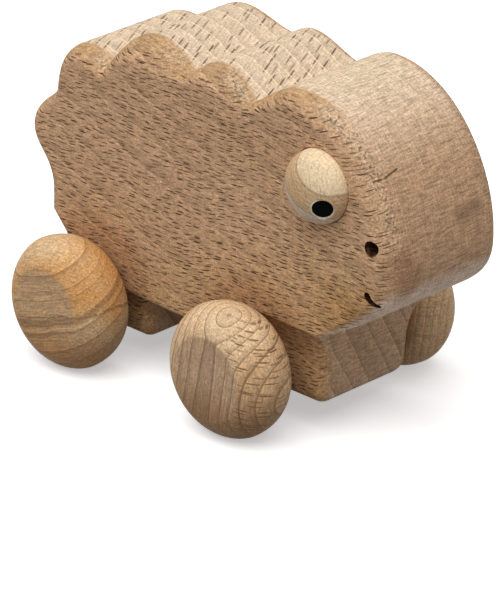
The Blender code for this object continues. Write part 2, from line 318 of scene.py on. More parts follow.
@dataclass(frozen=True)
class Dashes:
    """Short dashes scattered over a surface.

    Attributes:
        room: The room that each dash has in the two directions, in millimetres.
        size: Half the dash's size in those directions, in millimetres.
        share: How many of the rooms have one.
        core: How much of its half size a dash keeps before it fades.
        faintest: How strong the faintest dash is.
    """

    room: Pair
    size: Pair
    share: float
    core: float = 0.55
    faintest: float = 0.6

    def scatter(self, bench: NodeBench, along: Signal, across: Signal) -> Signal:
        """Scatters the dashes.

        Args:
            bench: The material that they are for.
            along: The place along the first direction, in millimetres.
            across: The place along the second direction, in millimetres.

        Returns:
            How much of a dash is at a place, from 0 to 1.
        """
        place = bench.join(along / self.room[0], across / self.room[1], 0.0)
        cells = bench.add("ShaderNodeTexVoronoi", {"voronoi_dimensions": "2D"},
                          {"Vector": place, "Scale": 1.0}, "Position")
        shares = [room / size for room, size in zip(self.room, self.size)]
        offset = bench.vector("MULTIPLY", bench.vector("SUBTRACT", place, cells), (*shares, 0.0))
        reach = bench.vector("LENGTH", offset, output="Value")
        chance, weight, _ = bench.split(cells.other("Color"))
        chosen = chance.rise(1.0 - self.share, 1.04 - self.share)
        return reach.rise(1.0, self.core) * chosen * weight.span(self.faintest, 1.0)


@dataclass(frozen=True)
class Mark:
    """A soft mark along a stroke in the wood.

    Attributes:
        corners: The stroke's corners, in millimetres.
        edge: How far from the stroke the mark ends, and how far from it the mark is whole, in millimetres.
        strength: How strong the whole mark is.
    """

    corners: Sequence[Triple]
    edge: Pair
    strength: float

    def draw(self, bench: NodeBench, point: Signal) -> Signal:
        """Draws the mark.

        Args:
            bench: The material that it is for.
            point: The place, in millimetres.

        Returns:
            How much of the mark is at the place, from 0 to its strength.
        """
        strokes = zip(self.corners, self.corners[1:])
        parts = [bench.gap(point, start, end).rise(*self.edge) for start, end in strokes]
        return reduce(Signal.most, parts) * self.strength


@dataclass
class Figure:
    """What the growth of a piece of beech gives to its surface, as signals.

    Attributes:
        point: The place in the grain's own frame, in millimetres, with X along the grain.
        normal: The way that the surface faces, in the grain's own frame.
        around: The place round the pith, in millimetres.
        radius: The distance from the pith.
        ring: How far through a year's growth a place is, from 0 to 1.
        ray: The dark spindles of the large rays.
        fine_ray: The thin lines of the small rays.
        fibre: Fine streaks along the grain.
        speck: Fine speckle of pores.
        cloud: Slow changes of tone.
    """

    point: Signal
    normal: tuple[Signal, Signal, Signal]
    around: Signal
    radius: Signal
    ring: Signal
    ray: Signal
    fine_ray: Signal
    fibre: Signal
    speck: Signal
    cloud: Signal

    def late(self, start: float = 0.4) -> Signal:
        """Returns the dark late wood of each year, which ends sharply."""
        return self.ring.rise(start, 0.96) * self.ring.rise(1.0, 0.97)


@dataclass(frozen=True)
class Beech:
    """Beech in the round: growth rings about a pith, rays across them and fibres along the grain.

    Attributes:
        name: The material's name.
        centre: The place that the grain's own frame starts from, in millimetres.
        turn: How the piece is turned into the grain's own frame, in degrees.
        pith: Where the pith lies across the grain, in millimetres.
        ring_gap: The width of a year's growth.
        climb: How far the grain climbs sideways and away from the pith along the piece.
        drift: How far the rings wander.
        drift_size: How far apart the rings' bends are.
        unrest: How uneven the years' widths are.
        phase: Where the first year starts.
        seed: Where this piece lies in the tree.
        seed_step: How far a whole seed moves the clouds and specks, in millimetres.
        lay_step: How far a whole seed moves the rays along and round the pith, in millimetres.
        year_step: How many years a whole seed moves the years' widths.
        least_reach: The least radius that the rays are spread on, in millimetres.
        rays: The large rays.
        fine_rays: The small rays.
        fibre_length: How many times longer than wide a fibre is.
        fibre_width: A fibre's width, in millimetres.
        speck_size: The pores' size, in millimetres.
        cloud_size: The size of the slow changes of tone, in millimetres.
    """

    name: str
    centre: Triple = (0.0, 0.0, 0.0)
    turn: Triple = (0.0, 0.0, 0.0)
    pith: Pair = (171.0, 119.0)
    ring_gap: float = 5.5
    climb: Pair = (-0.045, -0.09)
    drift: float = 6.0
    drift_size: float = 30.0
    unrest: float = 2.2
    phase: float = 0.0
    seed: float = 0.0
    seed_step: Triple = (37.0, 11.0, 23.0)
    lay_step: Pair = (53.0, 31.0)
    year_step: float = 7.0
    least_reach: float = 12.0
    rays: Dashes = Dashes((3.9, 1.0), (1.6, 0.18), 0.8)
    fine_rays: Dashes = Dashes((2.3, 0.7), (0.9, 0.16), 0.85)
    fibre_length: float = 9.0
    fibre_width: float = 0.5
    speck_size: float = 0.55
    cloud_size: float = 22.0

    def figure(self, bench: NodeBench) -> Figure:
        """Works out the wood's figure.

        Args:
            bench: The material that it is for.

        Returns:
            The figure's signals.
        """
        rotation = Euler([math.radians(angle) for angle in self.turn])
        start = rotation.to_matrix() @ Vector(self.centre)
        place = bench.add("ShaderNodeTexCoord", output="Object")
        point = bench.add("ShaderNodeMapping", {"vector_type": "POINT"}, {
            "Vector": place, "Location": tuple(-start), "Rotation": tuple(rotation), "Scale": (1 / MM,) * 3})
        facing = bench.add("ShaderNodeMapping", {"vector_type": "VECTOR"}, {
            "Vector": place.other("Normal"), "Rotation": tuple(rotation)})
        seeded = bench.vector("ADD", point, tuple(self.seed * step for step in self.seed_step))
        drift = bench.vector("SUBTRACT", bench.noise(seeded, self.drift_size).other("Color"), (0.5,) * 3)
        wander = bench.vector("MULTIPLY", drift, (0.0, self.drift, self.drift))
        x, y, z = bench.split(bench.vector("ADD", point, wander))
        across, up = y - self.pith[0], z - self.pith[1]
        radius = bench.hypot(across, up) + x * self.climb[1]
        reach = max(math.hypot(*self.pith), self.least_reach)
        around = bench.calc("ARCTAN2", up, 0.0 - across) * reach + x * self.climb[0]
        along, around = (place + self.seed * step for place, step in zip((x, around), self.lay_step))
        age = radius / self.ring_gap
        years = bench.add("ShaderNodeTexNoise", {"noise_dimensions": "1D"}, {
            "W": age + self.seed * self.year_step, "Scale": 0.55, "Detail": 1.0})
        lay = bench.vector("MULTIPLY", bench.join(along, radius, around), (1 / self.fibre_length, 1.0, 1.0))
        return Figure(
            point=point, normal=bench.split(facing), around=around, radius=radius,
            ring=(age + years * self.unrest + self.phase).fraction(),
            ray=self.rays.scatter(bench, along, around),
            fine_ray=self.fine_rays.scatter(bench, along, around),
            fibre=bench.noise(lay, self.fibre_width, 3.0, 0.6).rise(0.3, 0.7),
            speck=bench.noise(seeded, self.speck_size, 2.0, 0.7).rise(0.3, 0.7),
            cloud=bench.noise(bench.vector("MULTIPLY", seeded, (0.4, 1.0, 1.0)), self.cloud_size))


@dataclass
class BlockFaces:
    """Where on the block a place lies, as signals.

    Attributes:
        place: The place along, across and up, in millimetres.
        run: The way round the outline, in millimetres.
        slope: How squarely the surface faces either side.
        head: The head.
        front: The front of the head.
        flat: The two sawn sides.
        strip: The sawn edge all round, between the rims.
        torn: The torn grain on the forward rims.
        upward: What of the strip faces up.
        endwise: What of the strip faces forwards or back.
        chest: What of that is low down, on the legs.
        under: The underside of the chin.
        leg: The legs' sides.
    """

    place: tuple[Signal, Signal, Signal]
    run: Signal
    slope: Signal
    head: Signal
    front: Signal
    flat: Signal
    strip: Signal
    torn: Signal
    upward: Signal
    endwise: Signal
    chest: Signal
    under: Signal
    leg: Signal


@dataclass
class Weave:
    """The brick-like figure of the strip, as signals.

    Attributes:
        sway: The slow bend of the years across the strip.
        seam: The pale lines between them.
        shade: The darker wood beside each line.
        cross: The dark rays that stand across them.
        hair: Fine streaks across the strip.
        weft: Fine streaks along it, from -0.5 to 0.5.
    """

    sway: Signal
    seam: Signal
    shade: Signal
    cross: Signal
    hair: Signal
    weft: Signal


@dataclass(frozen=True)
class BlockBeech(Beech):
    """The sawn block's own wood: tan sides full of dark rays, pale brick-like scallops and duller end grain, with
    painted light and shade laid over parts of it.

    Limits are pairs of where a part starts and where it is whole, in millimetres.

    Attributes:
        side: The colour of the two sawn sides.
        gold: The warmer colour low on the sides.
        rim: The darker colour of the rounded rims, partly the wood's warmer colour and partly painted shade.
        top: The paler colour of the scallops and the crown where they face up, partly the wood's paler faces and
            partly painted highlight.
        end: The colour of the end grain on the muzzle, chest and tail.
        leg: The redder colour of the legs' sides.
        chin: The end grain under the mouth, drawn much paler as painted fill light in the shade under the head.
        chest: The end grain of the chest, drawn paler as painted fill light in the shade under the head.
        ray: The dark colour of the rays.
        wheel_shade: Painted shade beside the wheels: a darker brown where the wheels shade the sides.
        jaw: The yellower colour of the jaw.
        blush: The red-brown colour of a patch beside the muzzle.
        head_limit: The limit of the head along the toy.
        front_limit: The limit of the front of the head along the toy.
        far_limit: The limit of the far half across the toy, where the rims get less of the painted shade.
        chin_limit: The limit of the chin along the toy.
        chest_limit: The limit of the chest's height.
        leg_limits: The limits of the legs across the toy and up it.
        jaw_limits: The limits of the jaw along the toy and up it.
        low_limit: The limit of the lower part of the sides.
        low_slope: How that limit falls along the toy.
        crown_limit: The limit of the darker upper part of the sides.
        wheel_shade_edge: How far from an axle the painted shade ends, and how far from it the shade is whole.
        wheel_shade_half: Half the length of an axle's stroke across the toy, along which the painted shade lies.
        blush_mark: The red-brown patch.
        crack: A fine crack over the brow.
        knot: A small dark knot on the muzzle.
        swirl: Dark grain that bends between the nostril and the mouth.
        lane: The width of a year's growth across the scallops.
        lane_start: Where the first of those years starts.
        sway: How far those years bend, in millimetres.
        slant: How far the rays on the fleece lean.
        cross: The rays that stand across the strip.
        side_years: The width of a year's growth on the sides.
        side_climb: How far those years climb along the toy.
        pit: The size of the pits in torn grain, in millimetres.
        relief: How deep the surface's small relief is, in millimetres.
    """

    name: str = "block_beech"
    side: Colour = (0.66, 0.405, 0.24)
    gold: Colour = (0.635, 0.385, 0.19)
    # partly painted shade: the rounded rims drawn darker than the sides
    rim: Colour = (0.575, 0.355, 0.185)
    # partly painted highlight: the upward-facing strip is drawn paler where it faces the light
    top: Colour = (0.745, 0.575, 0.405)
    end: Colour = (0.555, 0.345, 0.205)
    leg: Colour = (0.57, 0.33, 0.16)
    # painted fill light: the down-facing chin drawn paler than the end grain
    chin: Colour = (0.84, 0.64, 0.51)
    # painted fill light: the shaded chest drawn paler than the end grain
    chest: Colour = (0.70, 0.455, 0.28)
    ray: Colour = (0.06, 0.024, 0.010)
    # painted shade: a darker brown laid on the sides beside the wheels, where the wheels shade them
    wheel_shade: Colour = (0.44, 0.235, 0.115)
    jaw: Colour = (0.52, 0.285, 0.11)
    blush: Colour = (0.40, 0.20, 0.11)
    head_limit: Pair = (12.0, 30.0)
    front_limit: Pair = (36.0, 52.0)
    far_limit: Pair = (0.0, 18.0)
    chin_limit: Pair = (34.0, 42.0)
    chest_limit: Pair = (32.0, 30.0)
    leg_limits: tuple[Pair, Pair] = ((20.95, 20.75), (31.5, 30.5))
    jaw_limits: tuple[Pair, Pair] = ((34.0, 52.0), (52.0, 40.0))
    low_limit: Pair = (52.0, 20.0)
    low_slope: float = -0.25
    crown_limit: Pair = (58.0, 84.0)
    wheel_shade_edge: Pair = (26.0, 18.0)
    wheel_shade_half: float = 30.0
    blush_mark: Mark = Mark(((64.0, -16.8, 56.5), (64.3, -13.5, 50.0)), (6.0, 1.0), 0.85)
    crack: Mark = Mark(((55.8, -18.9, 76.5), (57.3, -15.5, 77.0), (56.8, -10.4, 78.0)), (0.36, 0.12), 0.82)
    knot: Mark = Mark(((63.5, 5.5, 63.2), (63.6, 11.5, 63.2)), (3.6, 0.6), 0.62)
    swirl: Mark = Mark(((52.0, -21.0, 55.0), (62.5, -19.3, 53.2)), (2.6, 0.4), 0.34)
    lane: float = 5.4
    lane_start: float = 0.3
    sway: float = 6.0
    slant: float = 0.46
    cross: Dashes = Dashes((3.0, 5.4), (0.33, 2.9), 0.75)
    side_years: float = 9.5
    side_climb: float = 0.375
    pit: float = 0.7
    relief: float = 0.16

    def faces(self, bench: NodeBench, wood: Figure) -> BlockFaces:
        """Tells the parts of the block's surface apart.

        Args:
            bench: The material that they are for.
            wood: The wood's figure.

        Returns:
            The parts.
        """
        x, y, z = bench.split(wood.point)
        nx, ny, nz = wood.normal
        slope = abs(ny)
        leg_half, leg_top = self.leg_limits
        head, front = x.rise(*self.head_limit), x.rise(*self.front_limit)
        strip = slope.rise(0.22, 0.06) * (1.0 - front) + slope.rise(0.8, 0.05) * front
        endwise = abs(nx).rise(0.4, 0.85) * strip
        return BlockFaces(
            place=(x, y, z), slope=slope, head=head, front=front, strip=strip, endwise=endwise,
            run=bench.add("ShaderNodeAttribute", {"attribute_name": RUN}, output="Fac"),
            flat=slope.rise(0.86, 0.985),
            torn=slope.hump(0.45, 0.42) * nx.rise(0.1, 0.4) * nz.rise(-0.2, 0.3),
            upward=(nz - head * 0.38).rise(0.1, 0.65) * strip,
            chest=endwise * z.rise(*self.chest_limit),
            under=nz.rise(-0.1, -0.5) * slope.rise(0.97, 0.6) * x.rise(*self.chin_limit),
            leg=abs(y).rise(*leg_half) * z.rise(*leg_top) * slope.rise(0.3, 0.7))

    def ground(self, bench: NodeBench, wood: Figure, face: BlockFaces) -> Signal:
        """Lays the colours of the block's parts over each other.

        Args:
            bench: The material that they are for.
            wood: The wood's figure.
            face: The parts of the surface.

        Returns:
            The colour before fine grain is added.
        """
        x, y, z = face.place
        low_side = (z + x * self.low_slope).rise(*self.low_limit) * face.flat
        # The rims are drawn darker, partly painted shade, and less so on the far half.
        rims = face.slope.rise(0.92, 0.55) * (1.0 - face.front * 0.85) * (1.0 - y.rise(*self.far_limit) * 0.6)
        colour = bench.mix(wood.cloud.rise(0.35, 0.75) * 0.3 + low_side * 0.9, self.side, self.gold)
        # Painted light in these layers: the upward strip paler as partly painted highlight, the chest and the chin
        # paler as painted fill light under the head.
        layers = [
            (x.rise(*self.jaw_limits[0]) * z.rise(*self.jaw_limits[1]) * 0.8, self.jaw),
            (rims, self.rim), (face.torn * 0.5 * (1.0 - face.front * 0.5), self.top), (face.endwise, self.end),
            (face.upward, self.top), (face.chest, self.chest), (face.under, self.chin), (face.leg, self.leg)]
        # Painted shade on the flat sides round each axle, where the wheels shade the block.
        for axle_x in (FRONT_X / MM, REAR_X / MM):
            ends = [(axle_x, across, AXLE_HEIGHT / MM) for across in (-self.wheel_shade_half, self.wheel_shade_half)]
            wheel_shadow = Mark(ends, self.wheel_shade_edge, 0.5).draw(bench, wood.point)
            layers.append((wheel_shadow * face.flat * (1.0 - face.leg), self.wheel_shade))
        layers.append((self.blush_mark.draw(bench, wood.point) * wood.fibre.span(0.4, 1.0), self.blush))
        for share, paint in layers:
            colour = bench.mix(share, colour, paint)
        return colour

    def weave(self, bench: NodeBench, face: BlockFaces) -> Weave:
        """Works out the strip's brick-like figure.

        Args:
            bench: The material that it is for.
            face: The parts of the surface.

        Returns:
            The figure.
        """
        across = face.place[1]
        sway = bench.noise(bench.join(face.run, across * 0.3, 0.0), 16.0)
        lanes = ((across + sway * self.sway) / self.lane + self.lane_start).fraction()
        seam = lanes.hump(0.5, 0.06)
        along = face.run - across * (1.0 - face.head) * self.slant
        cloth = bench.join(along, across, 0.0)
        hair, weft = (bench.noise(bench.vector("MULTIPLY", cloth, stretch), 0.6, 3.0, 0.6)
                      for stretch in ((1.0, 0.14, 1.0), (0.14, 1.0, 1.0)))
        return Weave(
            sway=sway, seam=seam, shade=lanes.rise(0.5, 0.6) * lanes.rise(1.2, 0.6),
            cross=self.cross.scatter(bench, along, across) * (1.0 - seam) * face.strip,
            hair=hair.rise(0.25, 0.75), weft=weft - 0.5)

    def tone(self, wood: Figure, face: BlockFaces, weave: Weave, pits: Signal) -> Signal:
        """Works out how light the fine grain is.

        Args:
            wood: The wood's figure.
            face: The parts of the surface.
            weave: The strip's figure.
            pits: The pits in torn grain.

        Returns:
            What the colour is multiplied by, about 1.
        """
        x, _, z = face.place
        years = ((z + x * self.side_climb) / self.side_years + weave.sway * 0.4).fraction()
        side = (1.0 - wood.fine_ray * 0.28) * z.rise(*self.crown_limit).span(1.0, 0.92) * wood.fibre.span(0.79, 1.26)
        side = side * (1.0 + years.hump(0.5, 0.07) * 0.18 - years.rise(0.5, 0.55) * years.rise(1.0, 0.6) * 0.14)
        strip = 1.0 + (weave.seam * 0.26 - weave.shade * 0.12) * (1.0 - face.head * 0.6) * (1.0 - face.chest)
        strip = strip * (0.82 - face.head * 0.09 + weave.hair * face.head.span(0.36, 0.54))
        strip = strip * (1.0 + face.chest * (wood.ring.rise(0.08, 0.0) * 0.32 - wood.late(0.35) * 0.28))
        strip = strip * (1.0 + weave.weft * face.head * 0.7)
        tone = (side * (1.0 - face.strip) + strip * face.strip) * wood.speck.span(0.78, 1.22)
        return tone * (1.0 + face.torn * (pits.rise(0.46, 0.36) * 0.35 - pits.rise(0.53, 0.6) * 0.65))

    def make(self) -> bpy.types.Material:
        """Makes the material.

        Returns:
            The finished material.
        """
        bench = NodeBench(bpy.data.materials.new(self.name))
        wood = self.figure(bench)
        face = self.faces(bench, wood)
        weave = self.weave(bench, face)
        pits = bench.noise(wood.point, self.pit, 3.0, 0.7)
        dark = wood.ray * face.slope.rise(0.3, 0.8) + weave.cross * face.head.span(0.78, 0.28) * (1.0 - face.chest)
        for mark in (self.crack.draw(bench, wood.point), self.knot.draw(bench, wood.point) * wood.speck,
                     self.swirl.draw(bench, wood.point) * wood.fibre):
            dark = dark.most(mark)
        ground = self.ground(bench, wood, face)
        colour = bench.mix(dark, bench.scale(ground, self.tone(wood, face, weave, pits)), self.ray)
        relief = dark * -0.7 - wood.fine_ray * 0.25 + (weave.seam * 0.2 + weave.hair * 0.4) * face.strip
        relief = relief + wood.speck * 0.35 + pits * face.torn * 0.5
        roughness = 0.6 + wood.speck * 0.14 + face.endwise * 0.08
        return bench.close(colour, roughness, relief, self.relief, Specular_IOR_Level=0.06)


@dataclass(frozen=True)
class CutBeech:
    """The insides of the drilled nostrils and the cut mouth, drawn near-black as painted shade in the deep holes.

    Attributes:
        name: The material's name.
        dark: The darkest colour of the painted shade.
        brown: The browner colour of the painted shade's lighter patches.
        patch: The size of the painted shade's patches, in millimetres.
        relief: How deep the tool's traces are, in millimetres.
    """

    name: str = "cut_beech"
    dark: Colour = (0.03, 0.012, 0.006)
    brown: Colour = (0.11, 0.05, 0.024)
    patch: float = 1.2
    relief: float = 0.1

    def make(self) -> bpy.types.Material:
        """Makes the material.

        Returns:
            The finished material.
        """
        bench = NodeBench(bpy.data.materials.new(self.name))
        # Painted shade: the insides of the holes drawn near-black, in patches.
        shade_patches = bench.noise(bench.place(), self.patch, 3.0, 0.6)
        colour = bench.mix(shade_patches.rise(0.4, 0.7), self.dark, self.brown)
        return bench.close(colour, shade_patches.span(0.75, 0.9), shade_patches, self.relief, Specular_IOR_Level=0.05)


@dataclass(frozen=True)
class WheelBeech(Beech):
    """Turned beech for one wheel, with its own grain and tint, and painted shade drawn near the ground.

    Attributes:
        warm: The colour of the turned dome.
        pale: The colour of its palest growth.
        grey: The duller colour of the sanded flat.
        foot: The darker colour painted low on the wheel, as painted shade near the ground.
        dark: The colour of lines and cracks.
        flat: The flat's radius, in millimetres.
        ground_shade_limit: The heights at which the painted shade near the ground starts and is whole, in
            millimetres.
        streak: The height of one dark streak across the wheel, in millimetres from its middle.
        streak_half: Half that streak's width, in millimetres.
        streak_depth: How dark that streak is.
        checks: How strong the short cracks are that stand across the grain.
        check_dashes: Those cracks.
        late_depth: How dark the late wood of each year is.
        ray_depth: How dark the rays are.
        line_depth: How dark the line is that ends each year.
        arch: The radius of one darker year about the pith, in millimetres, or 0.
        arch_half: Half that year's width, in millimetres.
        tool_gap: The width of the traces that the lathe's tool leaves, in millimetres.
        relief: How deep the surface's small relief is, in millimetres.
    """

    warm: Colour = (0.62, 0.35, 0.165)
    pale: Colour = (0.70, 0.49, 0.29)
    grey: Colour = (0.58, 0.39, 0.235)
    # painted shade: the wheel's bottom drawn darker near the ground
    foot: Colour = (0.41, 0.215, 0.09)
    dark: Colour = (0.20, 0.095, 0.042)
    flat: float = 11.0
    ground_shade_limit: Pair = (20.0, 6.0)
    streak: float = -2.1
    streak_half: float = 0.45
    streak_depth: float = 0.0
    checks: float = 0.0
    check_dashes: Dashes = Dashes((1.25, 4.0), (0.22, 1.9), 0.9)
    late_depth: float = 0.2
    ray_depth: float = 0.2
    line_depth: float = 0.5
    arch: float = 0.0
    arch_half: float = 0.35
    tool_gap: float = 0.5
    relief: float = 0.14
    drift: float = 3.0
    climb: Pair = (0.0, 0.0)

    def make(self) -> bpy.types.Material:
        """Makes the material.

        Returns:
            The finished material.
        """
        bench = NodeBench(bpy.data.materials.new(self.name))
        wood = self.figure(bench)
        x, y, z = bench.split(wood.point)
        _, out_way, up_way = wood.normal
        _, _, height = bench.split(bench.place())
        out = bench.hypot(x, z)
        disc = out.rise(self.flat + 0.4, self.flat - 0.3) * abs(out_way).rise(0.9, 0.97)
        colour = bench.mix(wood.cloud.rise(0.3, 0.7), self.warm, self.pale)
        colour = bench.mix(disc * 0.9, colour, self.grey)
        # Painted shade: the wheel drawn darker towards the ground.
        colour = bench.mix(height.rise(*self.ground_shade_limit) * 0.9, colour, self.foot)
        checks = self.check_dashes.scatter(bench, x, wood.around) * self.checks * (1.0 - disc)
        waver = (wood.cloud - 0.5) * 5.0 + (wood.fibre - 0.5) * 0.8
        year_end = wood.ring.rise(0.84, 0.96) * wood.ring.rise(1.0, 0.97)
        dark = wood.ray * self.ray_depth
        lines = [year_end * self.line_depth, checks * up_way.rise(0.1, -0.35) * 0.9]
        if self.streak_depth:
            lines.append((z + waver).hump(self.streak, self.streak_half) * self.streak_depth * 0.7)
        if self.arch:
            lines.append(wood.radius.hump(self.arch, self.arch_half) * 0.7)
        for line in lines:
            dark = dark.most(line)
        tone = (1.0 - wood.late() * self.late_depth) * wood.ring.rise(0.15, 0.0).span(1.0, 1.12)
        tone = tone * wood.fibre.span(0.78, 1.22) * wood.speck.span(0.8, 1.2)
        colour = bench.mix(dark, bench.scale(colour, tone), self.dark)
        lathe = bench.noise(bench.join(out, y * 0.02, 0.0), self.tool_gap, 1.0)
        relief = wood.fibre * 0.4 + wood.speck * 0.3 - dark * 0.7 + lathe * 0.15
        roughness = wood.speck.span(0.5, 0.64) + disc * 0.08
        return bench.close(colour, roughness, relief, self.relief, Specular_IOR_Level=0.1)


@dataclass(frozen=True)
class EyeBeech(Beech):
    """Pale turned beech for one eye, with a brown band of older wood across it.

    Attributes:
        pale: The colour of the younger wood.
        brown: The colour of the band.
        ring: The fresh-cut colour round the pupil.
        grey: The colour beyond the band.
        band_middle: The middle of the band's growth rings along the toy and up it, in millimetres.
        band: The radii where the band starts and ends, in millimetres.
        lines: Short dark lines across the eye.
        line_lean: How far those lines lean.
        pupil: The pupil's middle from the eye's, in millimetres.
        pupil_way: The way that the pupil faces.
        pupil_ring: The radius of the fresh-cut ring.
        relief: How deep the surface's small relief is, in millimetres.
    """

    pale: Colour = (0.83, 0.64, 0.41)
    brown: Colour = (0.68, 0.45, 0.25)
    ring: Colour = (0.80, 0.72, 0.60)
    grey: Colour = (0.72, 0.57, 0.42)
    band_middle: Pair = (8.0, 14.5)
    band: Pair = (13.6, 20.3)
    lines: Dashes = Dashes((1.1, 3.0), (0.17, 1.3), 0.75)
    line_lean: float = 0.35
    pupil: Triple = (0.0, 0.0, 0.0)
    pupil_way: Triple = (0.0, -1.0, 0.0)
    pupil_ring: float = 3.0
    relief: float = 0.08
    ring_gap: float = 2.6
    drift: float = 2.0

    def make(self) -> bpy.types.Material:
        """Makes the material.

        Returns:
            The finished material.
        """
        bench = NodeBench(bpy.data.materials.new(self.name))
        wood = self.figure(bench)
        x, _, z = bench.split(wood.point)
        first, last = self.band
        years = bench.hypot(x - self.band_middle[0], z - self.band_middle[1]) + (wood.cloud - 0.5)
        older = years.rise(first - 0.15, first + 0.15)
        colour = bench.mix(older, self.pale, self.brown)
        colour = bench.mix(years.rise(last - 0.3, last + 0.3), colour, self.grey)
        edges = years.hump(first, 0.35).most(years.hump(last, 0.4))
        growth = (years * 0.9).fraction().hump(0.5, 0.4) * older
        lines = self.lines.scatter(bench, x + z * self.line_lean, z)
        tone = wood.fibre.span(0.88, 1.12) * (1.0 - lines * 0.3) * wood.speck.span(0.86, 1.14)
        tone = tone * (1.0 - edges * 0.3) * (1.0 - growth * 0.15)
        offset = bench.vector("SUBTRACT", wood.point, self.pupil)
        along = bench.vector("DOT_PRODUCT", offset, self.pupil_way, output="Value")
        apart = bench.vector("SUBTRACT", offset, bench.scale(self.pupil_way, along))
        reach = bench.vector("LENGTH", apart, output="Value")
        fresh = reach.rise(self.pupil_ring + 0.1, self.pupil_ring - 0.1) * along.rise(-1.5, -1.0)
        colour = bench.mix(fresh, bench.scale(colour, tone), self.ring)
        return bench.close(colour, wood.speck.span(0.45, 0.59), wood.fibre * 0.6 - lines * 0.5, self.relief,
                           Specular_IOR_Level=0.15)


@dataclass(frozen=True)
class DowelBeech(Beech):
    """Plain beech rod with its grain along the axle.

    Attributes:
        colour: The wood's colour.
        shade: The darker colour that it drifts towards.
        relief: How deep the fibres are, in millimetres.
    """

    colour: Colour = (0.62, 0.41, 0.24)
    shade: Colour = (0.52, 0.31, 0.16)
    relief: float = 0.05
    turn: Triple = (0.0, 0.0, 90.0)
    pith: Pair = (30.0, 18.0)
    ring_gap: float = 3.0

    def make(self) -> bpy.types.Material:
        """Makes the material.

        Returns:
            The finished material.
        """
        bench = NodeBench(bpy.data.materials.new(self.name))
        wood = self.figure(bench)
        tone = (1.0 - wood.late() * 0.15) * wood.fibre.span(0.86, 1.14) * (1.0 - wood.ray * 0.25)
        colour = bench.scale(bench.mix(wood.cloud * 0.5, self.colour, self.shade), tone)
        return bench.close(colour, wood.fibre.span(0.6, 0.7), wood.fibre, self.relief, Specular_IOR_Level=0.1)


@dataclass(frozen=True)
class BlackStain:
    """Black stain worked into a small plug, with the grain just showing in its gloss.

    Attributes:
        name: The material's name.
        colour: The stain's colour.
        worn: The colour where the grain shows.
        fibre_width: A fibre's width, in millimetres.
        relief: How deep the fibres are, in millimetres.
    """

    name: str = "black_stain"
    colour: Colour = (0.001, 0.001, 0.001)
    worn: Colour = (0.004, 0.0035, 0.003)
    fibre_width: float = 0.4
    relief: float = 0.02

    def make(self) -> bpy.types.Material:
        """Makes the material.

        Returns:
            The finished material.
        """
        bench = NodeBench(bpy.data.materials.new(self.name))
        point = bench.vector("MULTIPLY", bench.place(), (0.1, 1.0, 1.0))
        grain = bench.noise(point, self.fibre_width, 3.0)
        colour = bench.mix(grain.rise(0.4, 0.8) * 0.4, self.colour, self.worn)
        return bench.close(colour, grain.span(0.6, 0.8), grain, self.relief, Specular_IOR_Level=0.02)


# ---------------------------------------------------------------- shaping

LEAST_STRETCH = 0.5  # keeps a sharp corner from running away when its outline is moved in
EASE_STEPS = 3  # the number of facets in an eased corner
ROUND_STEPS = 64  # the number of facets round a rod


def start_ring(work: bmesh.types.BMesh, points: Iterable[Sequence[float]]) -> list[bmesh.types.BMVert]:
    """Draws a closed ring of edges.

    Args:
        work: The mesh that it is drawn in.
        points: The ring's corners in order.

    Returns:
        The corners' vertices in order.
    """
    verts = [work.verts.new(point) for point in points]
    for first, second in zip(verts, verts[1:] + verts[:1]):
        work.edges.new((first, second))
    return verts


def ring_edges(work: bmesh.types.BMesh, verts: Sequence[bmesh.types.BMVert]) -> list[bmesh.types.BMEdge]:
    """Returns the edges of a closed ring of vertices."""
    return [work.edges.get(pair) for pair in zip(verts, [*verts[1:], verts[0]])]


def loft(rings: Sequence[Sequence[Vector]]) -> bmesh.types.BMesh:
    """Draws out a ring of edges through a row of rings and closes both ends.

    Args:
        rings: The rings, with the same number of corners each.

    Returns:
        The closed shape.
    """
    work = bmesh.new()
    verts = start_ring(work, rings[0])
    bmesh.ops.edgeloop_fill(work, edges=ring_edges(work, verts))
    for ring in rings[1:]:
        drawn = bmesh.ops.extrude_edge_only(work, edges=ring_edges(work, verts))["geom"]
        fresh = {item for item in drawn if isinstance(item, bmesh.types.BMVert)}
        verts = [next(edge.other_vert(vert) for edge in vert.link_edges if edge.other_vert(vert) in fresh)
                 for vert in verts]
        for vert, point in zip(verts, ring):
            vert.co = point
    bmesh.ops.edgeloop_fill(work, edges=ring_edges(work, verts))
    bmesh.ops.recalc_face_normals(work, faces=work.faces)
    return work


def inset(outline: Sequence[Triple]) -> list[Vector]:
    """Moves a closed outline inwards.

    Args:
        outline: Corners as two places and how far each corner moves.

    Returns:
        The moved corners.
    """
    moved = []
    for index, (x, y, amount) in enumerate(outline):
        here = Vector((x, y))
        arriving = (here - Vector(outline[index - 1][:2])).normalized()
        leaving = (Vector(outline[(index + 1) % len(outline)][:2]) - here).normalized()
        along = (arriving + leaving).normalized()
        stretch = max(along.dot(leaving), LEAST_STRETCH)
        moved.append(here + Vector((-along.y, along.x)) * amount / stretch)
    return moved


def rim_rings(outline: Sequence[Triple], sizes: Sequence[Pair], half_depth: float,
              steps: int) -> list[list[Vector]]:
    """Works out the rings of one rounded rim of a slab.

    Args:
        outline: The slab's corners.
        sizes: How far the rim drops and how far it reaches across the slab at each corner.
        half_depth: Half the slab's thickness.
        steps: The number of facets in the rounding.

    Returns:
        The rings, from the slab's middle outwards.
    """
    rings = []
    for step in range(steps + 1):
        turn = QUARTER * step / steps
        moves = [(x, y, drop * (1 - math.cos(turn))) for (x, y, _), (drop, _) in zip(outline, sizes)]
        depths = [half_depth - reach * (1 - math.sin(turn)) for _, reach in sizes]
        rings.append([Vector((*place, depth)) for place, depth in zip(inset(moves), depths)])
    return rings


